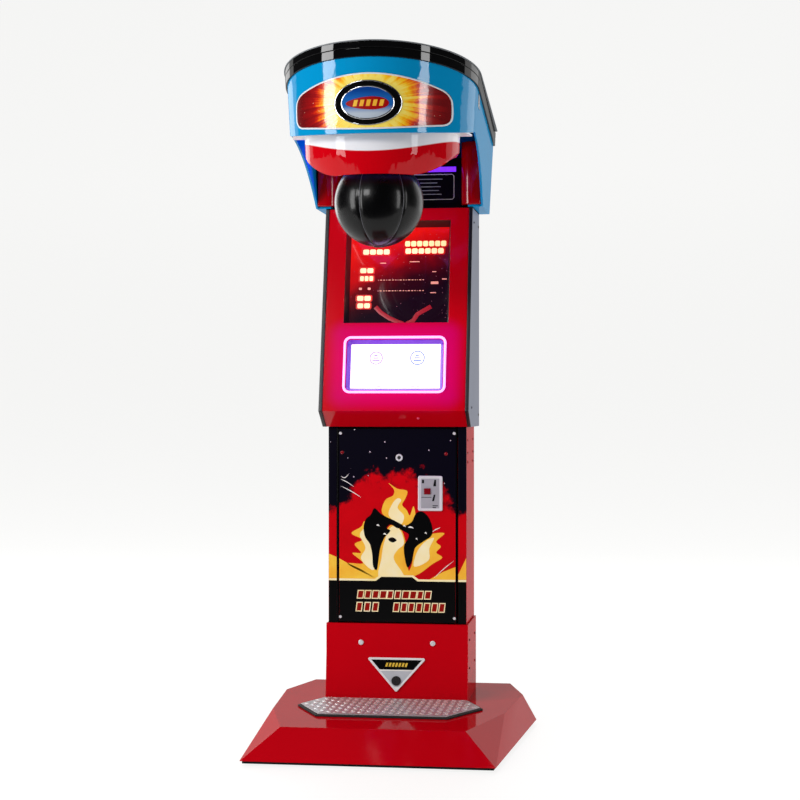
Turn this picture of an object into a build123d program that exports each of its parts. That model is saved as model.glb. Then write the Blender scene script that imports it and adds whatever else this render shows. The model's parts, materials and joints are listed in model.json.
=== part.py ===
"""Boxing punch machine: base, plinth, service cabinet, display housing and overhanging head with a ball.

Millimetres, +Z up, front towards -Y. The origin is on the floor, at the middle of the base.
"""
from build123d import *
import os
from math import atan2, cos, degrees, hypot, radians, sin, tan

os.makedirs("parts", exist_ok=True)

# ---- Driving dimensions -------------------------------------------------------------------------------
SHEET = 3.0                 # sheet steel of covers and cabinet
FIT = 0.5                   # clearance of a part that drops into a hole
RUN = 0.05                  # radial clearance of a shaft in its bearing
DECAL = 1.0                 # thickness of printed panels on a surface

# Base
BASE_FRONT = -562.5
BASE_BACK = 562.5
BASE_WIDE_Y = 285.0         # where the base is widest
BASE_HALF_FRONT = 390.0
BASE_HALF_WIDE = 460.0
BASE_HALF_BACK = 390.0
BASE_TOP = 100.0
BASE_RUN_FRONT = 120.0      # how far the front slopes back on its way up
BASE_RUN_SIDE = 48.0
BASE_RUN_BACK = 40.0
BASE_CORNER_X = 288.0       # front corner of the flat top
BASE_CORNER_Y = -100.0      # where the corner facet of the flat top meets its side
FOOT_RADIUS = 32.0
FOOT_HEIGHT = 6.0
PAN_THICK = 8.0
PAN_INSET = 8.0             # the pan stands back from the cover's edge

# Tread plate
TREAD_FRONT = -250.0
TREAD_GAP = 6.0             # from the tread pad to the plinth
TREAD_WIDE_Y = -60.0
TREAD_HALF_FRONT = 212.0
TREAD_HALF_WIDE = 306.0
TREAD_HALF_BACK = 246.0
TREAD_PAD = 6.0
TREAD_PLATE = 4.0
TREAD_EDGE = 9.0            # rubber that shows round the plate

# Plinth
PLINTH_PROUD = 6.0          # how far the plinth stands out round the cabinet
PLINTH_TOP = 356.0
PLINTH_BEND = 258.0         # height of the bend in the front
PLINTH_STEP = 10.0          # from the plinth's front to the cabinet's
PLINTH_TOE_RUN = 18.0       # how far the lower facet runs out to the base
BOLT_X = 122.0
BOLT_Z = 292.0
BOLT_RADIUS = 9.0
BOLT_HEAD = 4.0

# Badge, a triangle with its point down, and its lock
BADGE_HALF = 102.0
BADGE_HIGH = 115.0
BADGE_TOP_V = 143.0         # height of its top edge up the lower facet
BADGE_THICK = 4.0
BADGE_CORNER = 5.0
BADGE_LOCK_V = 66.0
BADGE_LOCK_RADIUS = 16.0

# Column frame
TUBE_WIDE = 30.0
TUBE_DEEP = 40.0
TUBE_WALL = 3.0
COLUMN_X = 150.0            # inner face of each upright
COLUMN_Y = 310.0            # front face of each upright
ARM_HIGH = 40.0
CROSS_DEEP = 30.0
REAR_CROSS_Y = 200.0
FRONT_CROSS_GAP = 45.0      # from the pivot axis to the front cross tube

# Cabinet
CAB_HALF = 235.0
CAB_FRONT = 120.0
CAB_BACK = 390.0
CAB_TOP = 1020.0
STRIP_WIDE = 28.0
STRIP_DEEP = 18.0
HEADER_HIGH = 35.0
HEADER_DEEP = 30.0

# Service door
DOOR_GAP = 6.0              # gap at each side of the door
DOOR_DEEP = 18.0
DOOR_SHEET = 2.0
DOOR_LIFT = 3.0             # gap under the door
DOOR_DROP = 5.0             # gap over the door
KNUCKLE_RADIUS = 2.6
PIN_RADIUS = 1.0
PIN_PLAY = 0.1
LEAF_THICK = 1.2
KNUCKLES = 12
KNUCKLE_PLAY = 0.4
SCREW_INSET_X = 7.0
SCREW_INSET_Z = 17.0
SCREW_RADIUS = 5.0
SCREW_HEAD = 2.0
STUD_RADIUS = 6.0
STUD_HEAD = 3.0
STUDS = ((-188.0, 933.0), (166.0, 929.0))

# Door lock
LOCK_X = 7.0
LOCK_Z = 916.0
LOCK_FLANGE_RADIUS = 12.0
LOCK_RADIUS = 9.0
LOCK_CORE_RADIUS = 6.0
LOCK_PROUD = 3.0
CAM_LONG = 42.0
CAM_WIDE = 16.0
CAM_THICK = 3.0
KEEPER_HALF = 22.0
KEEPER_GAP = 2.0

# Coin unit
COIN_X = 113.0
COIN_Z = 796.0
COIN_WIDE = 83.0
COIN_HIGH = 118.0
COIN_THICK = 7.0
COIN_CORNER = 6.0
COIN_RIM = 6.0
COIN_DISH = 2.0
SLOT_WIDE = 3.0
SLOT_HIGH = 27.0
SLOT_X = 14.0               # places on the coin plate are from its middle
SLOT_Z = 30.0
BUTTON_WIDE = 22.0
BUTTON_HIGH = 20.0
BUTTON_X = -10.0
BUTTON_Z = 7.0
BUTTON_PROUD = 4.0
BUTTON_TRAVEL = 4.0
FLAP_WIDE = 22.0
FLAP_HIGH = 24.0
FLAP_X = -6.0
FLAP_Z = -35.0
FLAP_THICK = 2.0
FLAP_SWING_ROOM = 20.0
ACCEPTOR_DEEP = 54.0
ACCEPTOR_EDGE = 6.0         # plate that overlaps the door round the acceptor

# Inside the cabinet
CASH_HALF = 120.0
CASH_FRONT = 165.0
CASH_BACK = 300.0
CASH_HIGH = 130.0
CASH_SLOT = 60.0
BOARD_HALF = 105.0
BOARD_LOW = 686.0
BOARD_HIGH = 164.0
BOARD_THICK = 2.0
CHIP_HALF = 16.0
CHIPS = (                   # across the card, how tall, up the card
    (-70.0, 8.0, 30.0),
    (-20.0, 11.0, 42.0),
    (30.0, 14.0, 54.0),
    (75.0, 17.0, 66.0),
)
CHIP_ROOM = 60.0            # bare card over the chips
STANDOFF = 8.0
SUPPLY_HALF = 75.0
SUPPLY_Z = 420.0
SUPPLY_HIGH = 95.0
SUPPLY_DEEP = 45.0
INLET_X = 70.0
INLET_Z = 640.0
INLET_WIDE = 32.0
INLET_HIGH = 70.0
INLET_DEEP = 18.0
SOCKET_WIDE = 24.0
SOCKET_HIGH = 20.0
SOCKET_DEEP = 14.0
SOCKET_PINS = ((-7.0, -3.0), (0.0, 4.0), (7.0, -3.0))   # across and up from the socket's middle
PIN_HALF_WIDE = 1.0
PIN_HALF_HIGH = 2.0
ROCKER_WIDE = 20.0
ROCKER_HIGH = 14.0
ROCKER_DEEP = 12.0
ROCKER_TILT = 8.0
ROCKER_ROOM = 1.6

# Display housing
HOUSE_PROUD = 17.0          # how far the housing stands out beside the cabinet
HOUSE_SIDE = 12.0
HOUSE_PROUD_BACK = 10.0
HOUSE_TOP = 1762.0
FACE_TOP_Y = 168.0
FACE_LOW_Y = 20.0
FACE_LOW_Z = 1074.0
CHIN_OUT = 15.0             # from the lower edge of the chin to the cabinet's front
MOULD_PROUD = 3.0
VENT_WIDE = 150.0
VENT_HIGH = 8.0
VENTS = 6

# Upper display, heights run up the sloping face from its lower edge
DISPLAY_SIDE = 62.0         # red face left beside the display
DISPLAY_LOW = 303.0
DISPLAY_HIGH = 358.0
DISPLAY_DEEP = 50.0
DISPLAY_SPLAY = 10.0
SURROUND_WALL = 3.0
GLASS = 4.0

# Lower screen
SCREEN_SIDE = 77.0          # red face left beside the screen
SCREEN_LOW = 70.0
SCREEN_HIGH = 175.0
SCREEN_DEEP = 22.0
SCREEN_SPLAY = 12.0
SCREEN_CORNER = 14.0
NEON_RADIUS = 4.0
NEON_GAP = 2.5
LAMP_X = 79.0
LAMP_DOWN = 45.0
LAMP_RADIUS = 5.0
DIGIT_BLOCKS = (            # across, up the display, width, height
    (108.0, 305.0, 136.0, 34.0),
    (-45.0, 298.0, 92.0, 24.0),
    (-118.0, 216.0, 48.0, 22.0),
    (-118.0, 178.0, 48.0, 22.0),
    (-122.0, 82.0, 48.0, 50.0),
)

# Head
HEAD_HALF = 310.0           # at the height of the rim's front
HEAD_BACK = 420.0
NOSE_Y = -200.0             # where the rounded front begins
NOSE_DEPTH = 352.0
DRAFT = 3.1                 # degrees that the head narrows downwards
RIM_FRONT_Y = -560.0
CUT_FRONT_Y = -672.0        # clear of the head's front, where cuts through it begin
RIM_FRONT_Z = 2190.0
RIM_TILT = 8.0              # degrees that the rim falls towards the back
RIM_HIGH = 46.0
RIM_PROUD = 6.0
RIM_SEAM = 19.0             # depth of the groove round the rim below its top
RIM_GROOVE = 2.0
SHELL_WALL = 8.0
LID_THICK = 4.0
LID_CROWN = 24.0
LID_CROWN_INSET = 120.0
LEG_FRONT = 165.0
ARCH_Y = -223.0             # top of the arch in the shell's lower edge
ARCH_Z = 1958.0
ARCH_FALL = 69.5            # how far the arch has fallen over the middle of the base
VISOR_Z = 1902.0            # shell's lower edge at the front
FLANGE_THICK = 8.0
FLANGE_LAP = 17.0           # how far the legs' flange lies over the housing
MARQUEE_HALF = 240.0
MARQUEE_LOW = 1928.0
MARQUEE_END_LOW = 1952.0
MARQUEE_END_HIGH = 2045.0
MARQUEE_TOP = 2093.0
MARQUEE_CORNER = 26.0
EMBLEM_HALF = 105.0
EMBLEM_HIGH = 68.0
EMBLEM_Z = 2005.0
EMBLEM_PROUD = 5.0
LIP_INSET = 46.0
LIP_BACK = -230.0
LIP_TOP = 1950.0
LIP_BEND = 1858.0
LIP_LOW = 1802.0
LIP_TUCK = 30.0             # how much further the lip runs in below its bend
LIP_FLAT = 120.0            # half-width of its flat lower edge
LIP_SIDE_Z = 1939.0         # where its arched edge meets its upright sides
LIP_SHOULDER = 0.82         # how far out the arched edge bulges, as a part of the half-width
LIP_FLANGE_Z = 1943.0
LIP_FLANGE = 6.0
CHEEK_IN = 212.0
CHEEK_FRONT = 150.0
CHEEK_TOP = 1985.0
CHEEK_ROUND = 40.0
THROAT_HALF = 205.0
THROAT_Y = 262.0
THROAT_TOP = 1945.0
LIGHT_Z = 1905.0
LIGHT_HIGH = 16.0
LIGHT_HALF = 185.0

# Punch mechanism
PIVOT_Y = -300.0
PIVOT_Z = 2020.0
BALL_RADIUS = 141.0
ARM_LONG = 155.0            # from the pivot to the flat top of the ball
BALL_CUT = 7.0              # height that the flat top takes off the ball
SHAFT_RADIUS = 10.0
SHAFT_END = 12.0            # shaft beyond the column's outer face
HUB_RADIUS = 26.0
HUB_HALF = 30.0
ARM_RADIUS = 14.0
FLANGE_RADIUS = 40.0
BALL_FLANGE = 8.0
HORN_HIGH = 55.0            # from the pivot axis
HORN_THICK = 16.0
BEARING_HALF = 13.0
BEARING_DEEP = 30.0
BEARING_LOW = 25.0          # from the axis down to the arms
BEARING_HIGH = 25.0         # above the axis
BUFFER_RADIUS = 11.0
BUFFER_X = 16.0
BUFFER_BACK = 53.0          # from the axis, towards the front
BUFFER_UP = 1.0             # top of the buffers above the axis
VANE_RADIUS = 45.0
VANE_THICK = 2.0
VANE_GAP = 4.0              # from the column to the vane
VANE_SLOTS = 12
VANE_SLOT_WIDE = 4.0
VANE_SLOT_LONG = 10.0
VANE_SLOT_IN = 8.0          # from the vane's edge to the middle of each slot
SENSOR_SLOT = 5.0
SENSOR_HALF = 12.0


# ---- Helpers ------------------------------------------------------------------------------------------
def block(x0, x1, y0, y1, z0, z1):
    """A box between two corners."""
    return Pos((x0 + x1) / 2, (y0 + y1) / 2, (z0 + z1) / 2) * Box(x1 - x0, y1 - y0, z1 - z0)


def rod_x(x0, x1, y, z, radius):
    """A cylinder along X."""
    return Pos((x0 + x1) / 2, y, z) * Rot(0, 90, 0) * Cylinder(radius, x1 - x0)


def rod_y(x, y0, y1, z, radius):
    """A cylinder along Y."""
    return Pos(x, (y0 + y1) / 2, z) * Rot(90, 0, 0) * Cylinder(radius, y1 - y0)


def rod_z(x, y, z0, z1, radius):
    """A cylinder along Z."""
    return Pos(x, y, (z0 + z1) / 2) * Cylinder(radius, z1 - z0)


def prism_x(face, x0, x1):
    """A face drawn in Y and Z, extruded along X."""
    return extrude(Plane.YZ.offset(x0) * face, amount=x1 - x0, dir=(1, 0, 0))


def prism_y(face, y0, y1):
    """A face drawn in X and Z, extruded along Y."""
    return extrude(Plane.XZ.offset(-y1) * face, amount=y1 - y0, dir=(0, -1, 0))


def mirrored(solid):
    """A solid and its mirror image in the middle plane."""
    return solid + mirror(solid, about=Plane.YZ)


def save(name, shape):
    """Writes one sub-part, as one solid or a group of separate solids."""
    solids = shape.solids()
    export_step(solids[0] if len(solids) == 1 else Compound(children=list(solids)), f"parts/{name}.step")


# ---- Base ---------------------------------------------------------------------------------------------
BASE_FOOT_Z = FOOT_HEIGHT + PAN_THICK


def six_sided(front, half_front, wide_y, half_wide, back, half_back):
    """A symmetrical outline with six corners."""
    right = [(half_front, front), (half_wide, wide_y), (half_back, back)]
    left = [(-x, y) for x, y in reversed(right)]
    return Polygon(*right, *left, align=None)


TREAD_BACK = CAB_FRONT - PLINTH_STEP - PLINTH_TOE_RUN - TREAD_GAP


def base_outline(inset):
    whole = six_sided(BASE_FRONT, BASE_HALF_FRONT, BASE_WIDE_Y, BASE_HALF_WIDE, BASE_BACK, BASE_HALF_BACK)
    return offset(whole, amount=-inset, kind=Kind.INTERSECTION)


def base_facets():
    """The sloping facets of the right half of the cover, each as a plane that looks outwards."""
    side_run = (BASE_HALF_WIDE - BASE_HALF_FRONT) / (BASE_WIDE_Y - BASE_FRONT)
    shoulder = BASE_HALF_FRONT + side_run * (BASE_CORNER_Y - BASE_FRONT) - BASE_RUN_SIDE
    low_front = Vector(BASE_HALF_FRONT, BASE_FRONT, BASE_FOOT_Z)
    low_wide = Vector(BASE_HALF_WIDE, BASE_WIDE_Y, BASE_FOOT_Z)
    low_back = Vector(BASE_HALF_BACK, BASE_BACK, BASE_FOOT_Z)
    high_front = Vector(BASE_CORNER_X, BASE_FRONT + BASE_RUN_FRONT, BASE_TOP)
    high_shoulder = Vector(shoulder, BASE_CORNER_Y, BASE_TOP)
    high_wide = Vector(BASE_HALF_WIDE - BASE_RUN_SIDE, BASE_WIDE_Y, BASE_TOP)
    high_back = Vector(BASE_HALF_BACK - BASE_RUN_SIDE, BASE_BACK - BASE_RUN_BACK, BASE_TOP)
    corners = ((low_front, high_front, low_front - Vector(1, 0, 0)),
               (low_front, high_shoulder, high_front),
               (low_front, low_wide, high_shoulder),
               (low_wide, low_back, high_wide),
               (low_back, low_back - Vector(1, 0, 0), high_back))
    return [Plane(origin=a, z_dir=(b - a).cross(c - a)) for a, b, c in corners]


def base_form(wall):
    """The cover's outer form, set in by a wall on every facet."""
    reach = 4 * BASE_BACK
    form = block(-BASE_HALF_WIDE, BASE_HALF_WIDE, BASE_FRONT, BASE_BACK, BASE_FOOT_Z, BASE_TOP - wall)
    for facet in base_facets():
        beyond = facet.offset(-wall).location * Pos(0, 0, reach / 2) * Box(reach, reach, reach)
        form = form - beyond - mirror(beyond, about=Plane.YZ)
    return form


def tread_outline(inset):
    whole = six_sided(TREAD_FRONT, TREAD_HALF_FRONT, TREAD_WIDE_Y, TREAD_HALF_WIDE,
                      TREAD_BACK, TREAD_HALF_BACK)
    return offset(whole, amount=-inset, kind=Kind.INTERSECTION) if inset else whole


def upright_holes(z0, z1):
    """Clearance for the two uprights through a level plate."""
    hole = block(COLUMN_X - FIT, COLUMN_X + TUBE_WIDE + FIT,
                 COLUMN_Y - FIT, COLUMN_Y + TUBE_DEEP + FIT, z0, z1)
    return mirrored(hole)


def make_base():
    foot_inset = PAN_INSET + 2 * FOOT_RADIUS
    spots = []
    for half, y in ((BASE_HALF_FRONT, BASE_FRONT + foot_inset), (BASE_HALF_WIDE, BASE_WIDE_Y),
                    (BASE_HALF_BACK, BASE_BACK - foot_inset)):
        spots += [(half - foot_inset, y), (foot_inset - half, y)]
    feet = [rod_z(x, y, 0, FOOT_HEIGHT, FOOT_RADIUS) for x, y in spots]
    save("rubber_feet", Compound(children=feet))

    pan = extrude(Pos(0, 0, FOOT_HEIGHT) * base_outline(PAN_INSET), amount=PAN_THICK)
    save("base_pan", pan)

    holes = upright_holes(BASE_TOP - 2 * SHEET, BASE_TOP + SHEET)
    save("base_cover", base_form(0) - base_form(SHEET) - holes)

    pad = extrude(Pos(0, 0, BASE_TOP) * tread_outline(0), amount=TREAD_PAD)
    plate = extrude(Pos(0, 0, BASE_TOP + TREAD_PAD) * tread_outline(TREAD_EDGE), amount=TREAD_PLATE)
    save("tread_pad", pad)
    save("tread_plate", plate)


# ---- Plinth -------------------------------------------------------------------------------------------
PLINTH_HALF = CAB_HALF + PLINTH_PROUD
PLINTH_BACK = CAB_BACK + PLINTH_PROUD
PLINTH_FRONT = CAB_FRONT - PLINTH_STEP
PLINTH_TOE = PLINTH_FRONT - PLINTH_TOE_RUN
TOE_ANGLE = degrees(atan2(PLINTH_FRONT - PLINTH_TOE, PLINTH_BEND - BASE_TOP))
TOE = Plane(origin=(0, PLINTH_TOE, BASE_TOP), x_dir=(1, 0, 0),
            z_dir=(0, -cos(radians(TOE_ANGLE)), sin(radians(TOE_ANGLE))))


def plinth_profile(wall):
    """Side view of the plinth, set back by a wall at the front and open at the other sides."""
    reach = wall * 4
    toe_run = tan(radians(TOE_ANGLE))
    back = PLINTH_BACK + reach
    front = PLINTH_FRONT + wall
    low = BASE_TOP - reach
    high = PLINTH_TOP - wall
    return Polygon((back, low), (back, high), (front, high), (front, PLINTH_BEND),
                   (front - (PLINTH_BEND - low) * toe_run, low), align=None)


def badge_outline(grow):
    """The triangle with rounded corners, drawn on the lower facet."""
    corners = Polygon((-BADGE_HALF, BADGE_TOP_V), (0, BADGE_TOP_V - BADGE_HIGH),
                      (BADGE_HALF, BADGE_TOP_V), align=None)
    rounded = fillet(corners.vertices(), BADGE_CORNER)
    return offset(rounded, amount=grow) if grow else rounded


def make_plinth():
    outer = prism_x(plinth_profile(0), -PLINTH_HALF, PLINTH_HALF)
    inner = prism_x(plinth_profile(SHEET), SHEET - PLINTH_HALF, PLINTH_HALF - SHEET)
    cabinet = block(-CAB_HALF - FIT, CAB_HALF + FIT, CAB_FRONT - FIT, PLINTH_BACK + SHEET,
                    PLINTH_BEND, PLINTH_TOP + SHEET)
    lock_hole = extrude(TOE.offset(-2 * SHEET) * Pos(0, BADGE_LOCK_V) * Circle(BADGE_LOCK_RADIUS / 2 + FIT),
                        amount=4 * SHEET)
    save("plinth_shroud", outer - inner - cabinet - lock_hole)

    bolts = []
    for x in (-BOLT_X, BOLT_X):
        head = rod_y(x, PLINTH_FRONT - BOLT_HEAD, PLINTH_FRONT, BOLT_Z, BOLT_RADIUS)
        bolts.append(fillet(head.faces().sort_by(Axis.Y)[0].edges(), BOLT_HEAD / 2))
    save("plinth_bolts", Compound(children=bolts))

    lock_bore = Pos(0, BADGE_LOCK_V) * Circle(BADGE_LOCK_RADIUS + FIT)
    plate = extrude(TOE * (badge_outline(0) - lock_bore), amount=BADGE_THICK)
    rim = extrude(TOE * (badge_outline(0) - badge_outline(-BADGE_THICK)), amount=BADGE_THICK + 1)
    save("badge_plate", plate + rim)
    head = extrude(TOE * Pos(0, BADGE_LOCK_V) * Circle(BADGE_LOCK_RADIUS), amount=2 * BADGE_THICK)
    stem = extrude(TOE.offset(-3 * SHEET) * Pos(0, BADGE_LOCK_V) * Circle(BADGE_LOCK_RADIUS / 2),
                   amount=4 * SHEET)
    key = extrude(TOE.offset(1.5 * BADGE_THICK) * Pos(0, BADGE_LOCK_V)
                  * Rectangle(BADGE_LOCK_RADIUS / 8, BADGE_LOCK_RADIUS), amount=BADGE_THICK)
    save("badge_lock", head + stem - key)


# ---- Column frame -------------------------------------------------------------------------------------
ARM_TOP = PIVOT_Z - BEARING_LOW
COLUMN_BACK = COLUMN_Y + TUBE_DEEP
COLUMN_OUT = COLUMN_X + TUBE_WIDE
CROSS_BACK = PIVOT_Y - FRONT_CROSS_GAP
CROSS_FRONT = CROSS_BACK - CROSS_DEEP


def make_column():
    arm_low = ARM_TOP - ARM_HIGH
    upright = block(COLUMN_X, COLUMN_OUT, COLUMN_Y, COLUMN_BACK, BASE_FOOT_Z, ARM_TOP)
    upright += block(COLUMN_X, COLUMN_OUT, CROSS_FRONT, COLUMN_BACK, arm_low, ARM_TOP)
    bore_in = COLUMN_X + TUBE_WALL
    bore_out = COLUMN_OUT - TUBE_WALL
    upright -= block(bore_in, bore_out, COLUMN_Y + TUBE_WALL, COLUMN_BACK - TUBE_WALL,
                     BASE_FOOT_Z - 1, ARM_TOP - TUBE_WALL)
    upright -= block(bore_in, bore_out, CROSS_FRONT - 1, COLUMN_BACK - TUBE_WALL,
                     arm_low + TUBE_WALL, ARM_TOP - TUBE_WALL)
    frame = mirrored(upright)
    for y in (CROSS_FRONT, REAR_CROSS_Y):
        frame += block(-COLUMN_X, COLUMN_X, y, y + CROSS_DEEP, ARM_TOP - CROSS_DEEP, ARM_TOP)
    save("column_frame", frame)


# ---- Cabinet and door ---------------------------------------------------------------------------------
DOOR_HALF = CAB_HALF - STRIP_WIDE - DOOR_GAP
DOOR_LOW = PLINTH_TOP + DOOR_LIFT
DOOR_TOP = CAB_TOP - DOOR_DROP
DOOR_BACK = CAB_FRONT + DOOR_DEEP
HINGE_X = -DOOR_HALF - DOOR_GAP / 2
CAM_Y = DOOR_BACK + KEEPER_GAP + SHEET + KEEPER_GAP


def make_cabinet():
    wrap = block(-CAB_HALF, CAB_HALF, CAB_FRONT + SHEET, CAB_BACK, BASE_TOP, CAB_TOP)
    wrap -= block(SHEET - CAB_HALF, CAB_HALF - SHEET, CAB_FRONT - SHEET, CAB_BACK - SHEET,
                  BASE_TOP - SHEET, CAB_TOP + SHEET)
    wrap -= block(INLET_X - INLET_WIDE / 2 - FIT, INLET_X + INLET_WIDE / 2 + FIT, CAB_BACK - 2 * SHEET,
                  CAB_BACK + SHEET, INLET_Z - INLET_HIGH / 2 - FIT, INLET_Z + INLET_HIGH / 2 + FIT)
    save("cabinet_wrap", wrap)

    strip_in = CAB_HALF - STRIP_WIDE
    strip = block(strip_in, CAB_HALF, CAB_FRONT, CAB_FRONT + SHEET, PLINTH_TOP, CAB_TOP)
    strip += block(strip_in, strip_in + SHEET, CAB_FRONT, CAB_FRONT + STRIP_DEEP, PLINTH_TOP, CAB_TOP)
    save("front_strip_right", strip)
    save("front_strip_left", mirror(strip, about=Plane.YZ))

    keeper_y = DOOR_BACK + KEEPER_GAP
    header_low = CAB_TOP - HEADER_HIGH
    header_back = keeper_y + HEADER_DEEP
    header = block(SHEET - CAB_HALF, CAB_HALF - SHEET, keeper_y, header_back, header_low, CAB_TOP)
    header -= block(-CAB_HALF, CAB_HALF, keeper_y + SHEET, header_back + SHEET, header_low - SHEET,
                    CAB_TOP - SHEET)
    header += block(LOCK_X - KEEPER_HALF, LOCK_X + KEEPER_HALF, keeper_y, keeper_y + SHEET,
                    LOCK_Z + LOCK_FLANGE_RADIUS + KEEPER_GAP, CAB_TOP)
    save("cabinet_header", header)


def coin_spot(x, z):
    """A place on the coin plate, from the plate's middle."""
    return COIN_X + x, COIN_Z + z


def coin_hole(x, z, wide, high, y0, y1):
    """A rectangular hole through the coin plate."""
    cx, cz = coin_spot(x, z)
    return block(cx - wide / 2, cx + wide / 2, y0, y1, cz - high / 2, cz + high / 2)


def acceptor_body(gap, y0, y1):
    return coin_hole(0, 0, COIN_WIDE - 2 * ACCEPTOR_EDGE + 2 * gap, COIN_HIGH - 2 * ACCEPTOR_EDGE + 2 * gap,
                     y0, y1)


def hinge_leaf(side, first):
    """One leaf of the piano hinge, with every other knuckle. side is -1 for the cabinet's leaf."""
    pitch = (DOOR_TOP - DOOR_LOW) / KNUCKLES
    leaf_out = HINGE_X + side * DOOR_GAP / 2
    leaf_in = leaf_out - side * LEAF_THICK
    x0 = min(leaf_in, leaf_out)
    x1 = max(leaf_in, leaf_out)
    clear_y = CAB_FRONT + KNUCKLE_RADIUS + PIN_PLAY * 4
    leaf = block(x0, x1, clear_y, DOOR_BACK, DOOR_LOW, DOOR_TOP)
    for index in range(first, KNUCKLES, 2):
        z0 = DOOR_LOW + index * pitch + KNUCKLE_PLAY / 2
        z1 = z0 + pitch - KNUCKLE_PLAY
        leaf += rod_z(HINGE_X, CAB_FRONT, z0, z1, KNUCKLE_RADIUS)
        leaf += block(min(leaf_out, HINGE_X + side), max(leaf_out, HINGE_X + side), CAB_FRONT,
                      CAB_FRONT + LEAF_THICK, z0, z1)
        leaf += block(x0, x1, CAB_FRONT, clear_y, z0, z1)
    return leaf


def make_door():
    poster_y = CAB_FRONT - DECAL
    coin_opening = acceptor_body(FIT, poster_y - SHEET, DOOR_BACK)
    lock_hole = rod_y(LOCK_X, poster_y - SHEET, DOOR_BACK, LOCK_Z, LOCK_RADIUS)
    door = block(-DOOR_HALF, DOOR_HALF, CAB_FRONT, DOOR_BACK, DOOR_LOW, DOOR_TOP)
    door -= block(DOOR_SHEET - DOOR_HALF, DOOR_HALF - DOOR_SHEET, CAB_FRONT + DOOR_SHEET,
                  DOOR_BACK + DOOR_SHEET, DOOR_LOW + DOOR_SHEET, DOOR_TOP - DOOR_SHEET)
    save("service_door", door - coin_opening - lock_hole)
    margin = DOOR_GAP / 2
    poster = block(margin - DOOR_HALF, DOOR_HALF - margin, poster_y, CAB_FRONT,
                   DOOR_LOW + margin, DOOR_TOP - margin)
    save("door_poster", poster - coin_opening - lock_hole)

    pin = rod_z(HINGE_X, CAB_FRONT, DOOR_LOW, DOOR_TOP, PIN_RADIUS)
    bore = rod_z(HINGE_X, CAB_FRONT, DOOR_LOW, DOOR_TOP, PIN_RADIUS + PIN_PLAY)
    save("hinge_leaf_fixed", hinge_leaf(-1, 0) + pin)
    save("hinge_leaf_moving", hinge_leaf(1, 1) - bore)

    screws = []
    for x in (SCREW_INSET_X - DOOR_HALF, DOOR_HALF - SCREW_INSET_X):
        for z in (DOOR_LOW + SCREW_INSET_Z, DOOR_TOP - SCREW_INSET_Z):
            head = rod_y(x, poster_y - SCREW_HEAD, poster_y, z, SCREW_RADIUS)
            screws.append(chamfer(head.faces().sort_by(Axis.Y)[0].edges(), SCREW_HEAD / 2))
    save("door_screws", Compound(children=screws))
    studs = [fillet(rod_y(x, poster_y - STUD_HEAD, poster_y, z, STUD_RADIUS)
                    .faces().sort_by(Axis.Y)[0].edges(), STUD_HEAD * 0.8) for x, z in STUDS]
    save("door_studs", Compound(children=studs))

    flange = rod_y(LOCK_X, poster_y - LOCK_PROUD, poster_y, LOCK_Z, LOCK_FLANGE_RADIUS)
    barrel = rod_y(LOCK_X, poster_y - LOCK_PROUD, CAM_Y - KEEPER_GAP, LOCK_Z, LOCK_RADIUS)
    core_bore = rod_y(LOCK_X, poster_y - 2 * LOCK_PROUD, CAM_Y, LOCK_Z, LOCK_CORE_RADIUS + RUN)
    save("door_lock_body", flange + barrel - core_bore)
    core = rod_y(LOCK_X, poster_y - LOCK_PROUD, CAM_Y + CAM_THICK, LOCK_Z, LOCK_CORE_RADIUS)
    cam = block(LOCK_X - CAM_WIDE / 2, LOCK_X + CAM_LONG, CAM_Y, CAM_Y + CAM_THICK,
                LOCK_Z - CAM_WIDE / 2, LOCK_Z + CAM_WIDE / 2)
    key = block(LOCK_X - DECAL / 2, LOCK_X + DECAL / 2, poster_y - LOCK_PROUD - 1, poster_y,
                LOCK_Z - LOCK_CORE_RADIUS / 2, LOCK_Z + LOCK_CORE_RADIUS / 2)
    save("door_lock_cam", core + cam - key)


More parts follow.
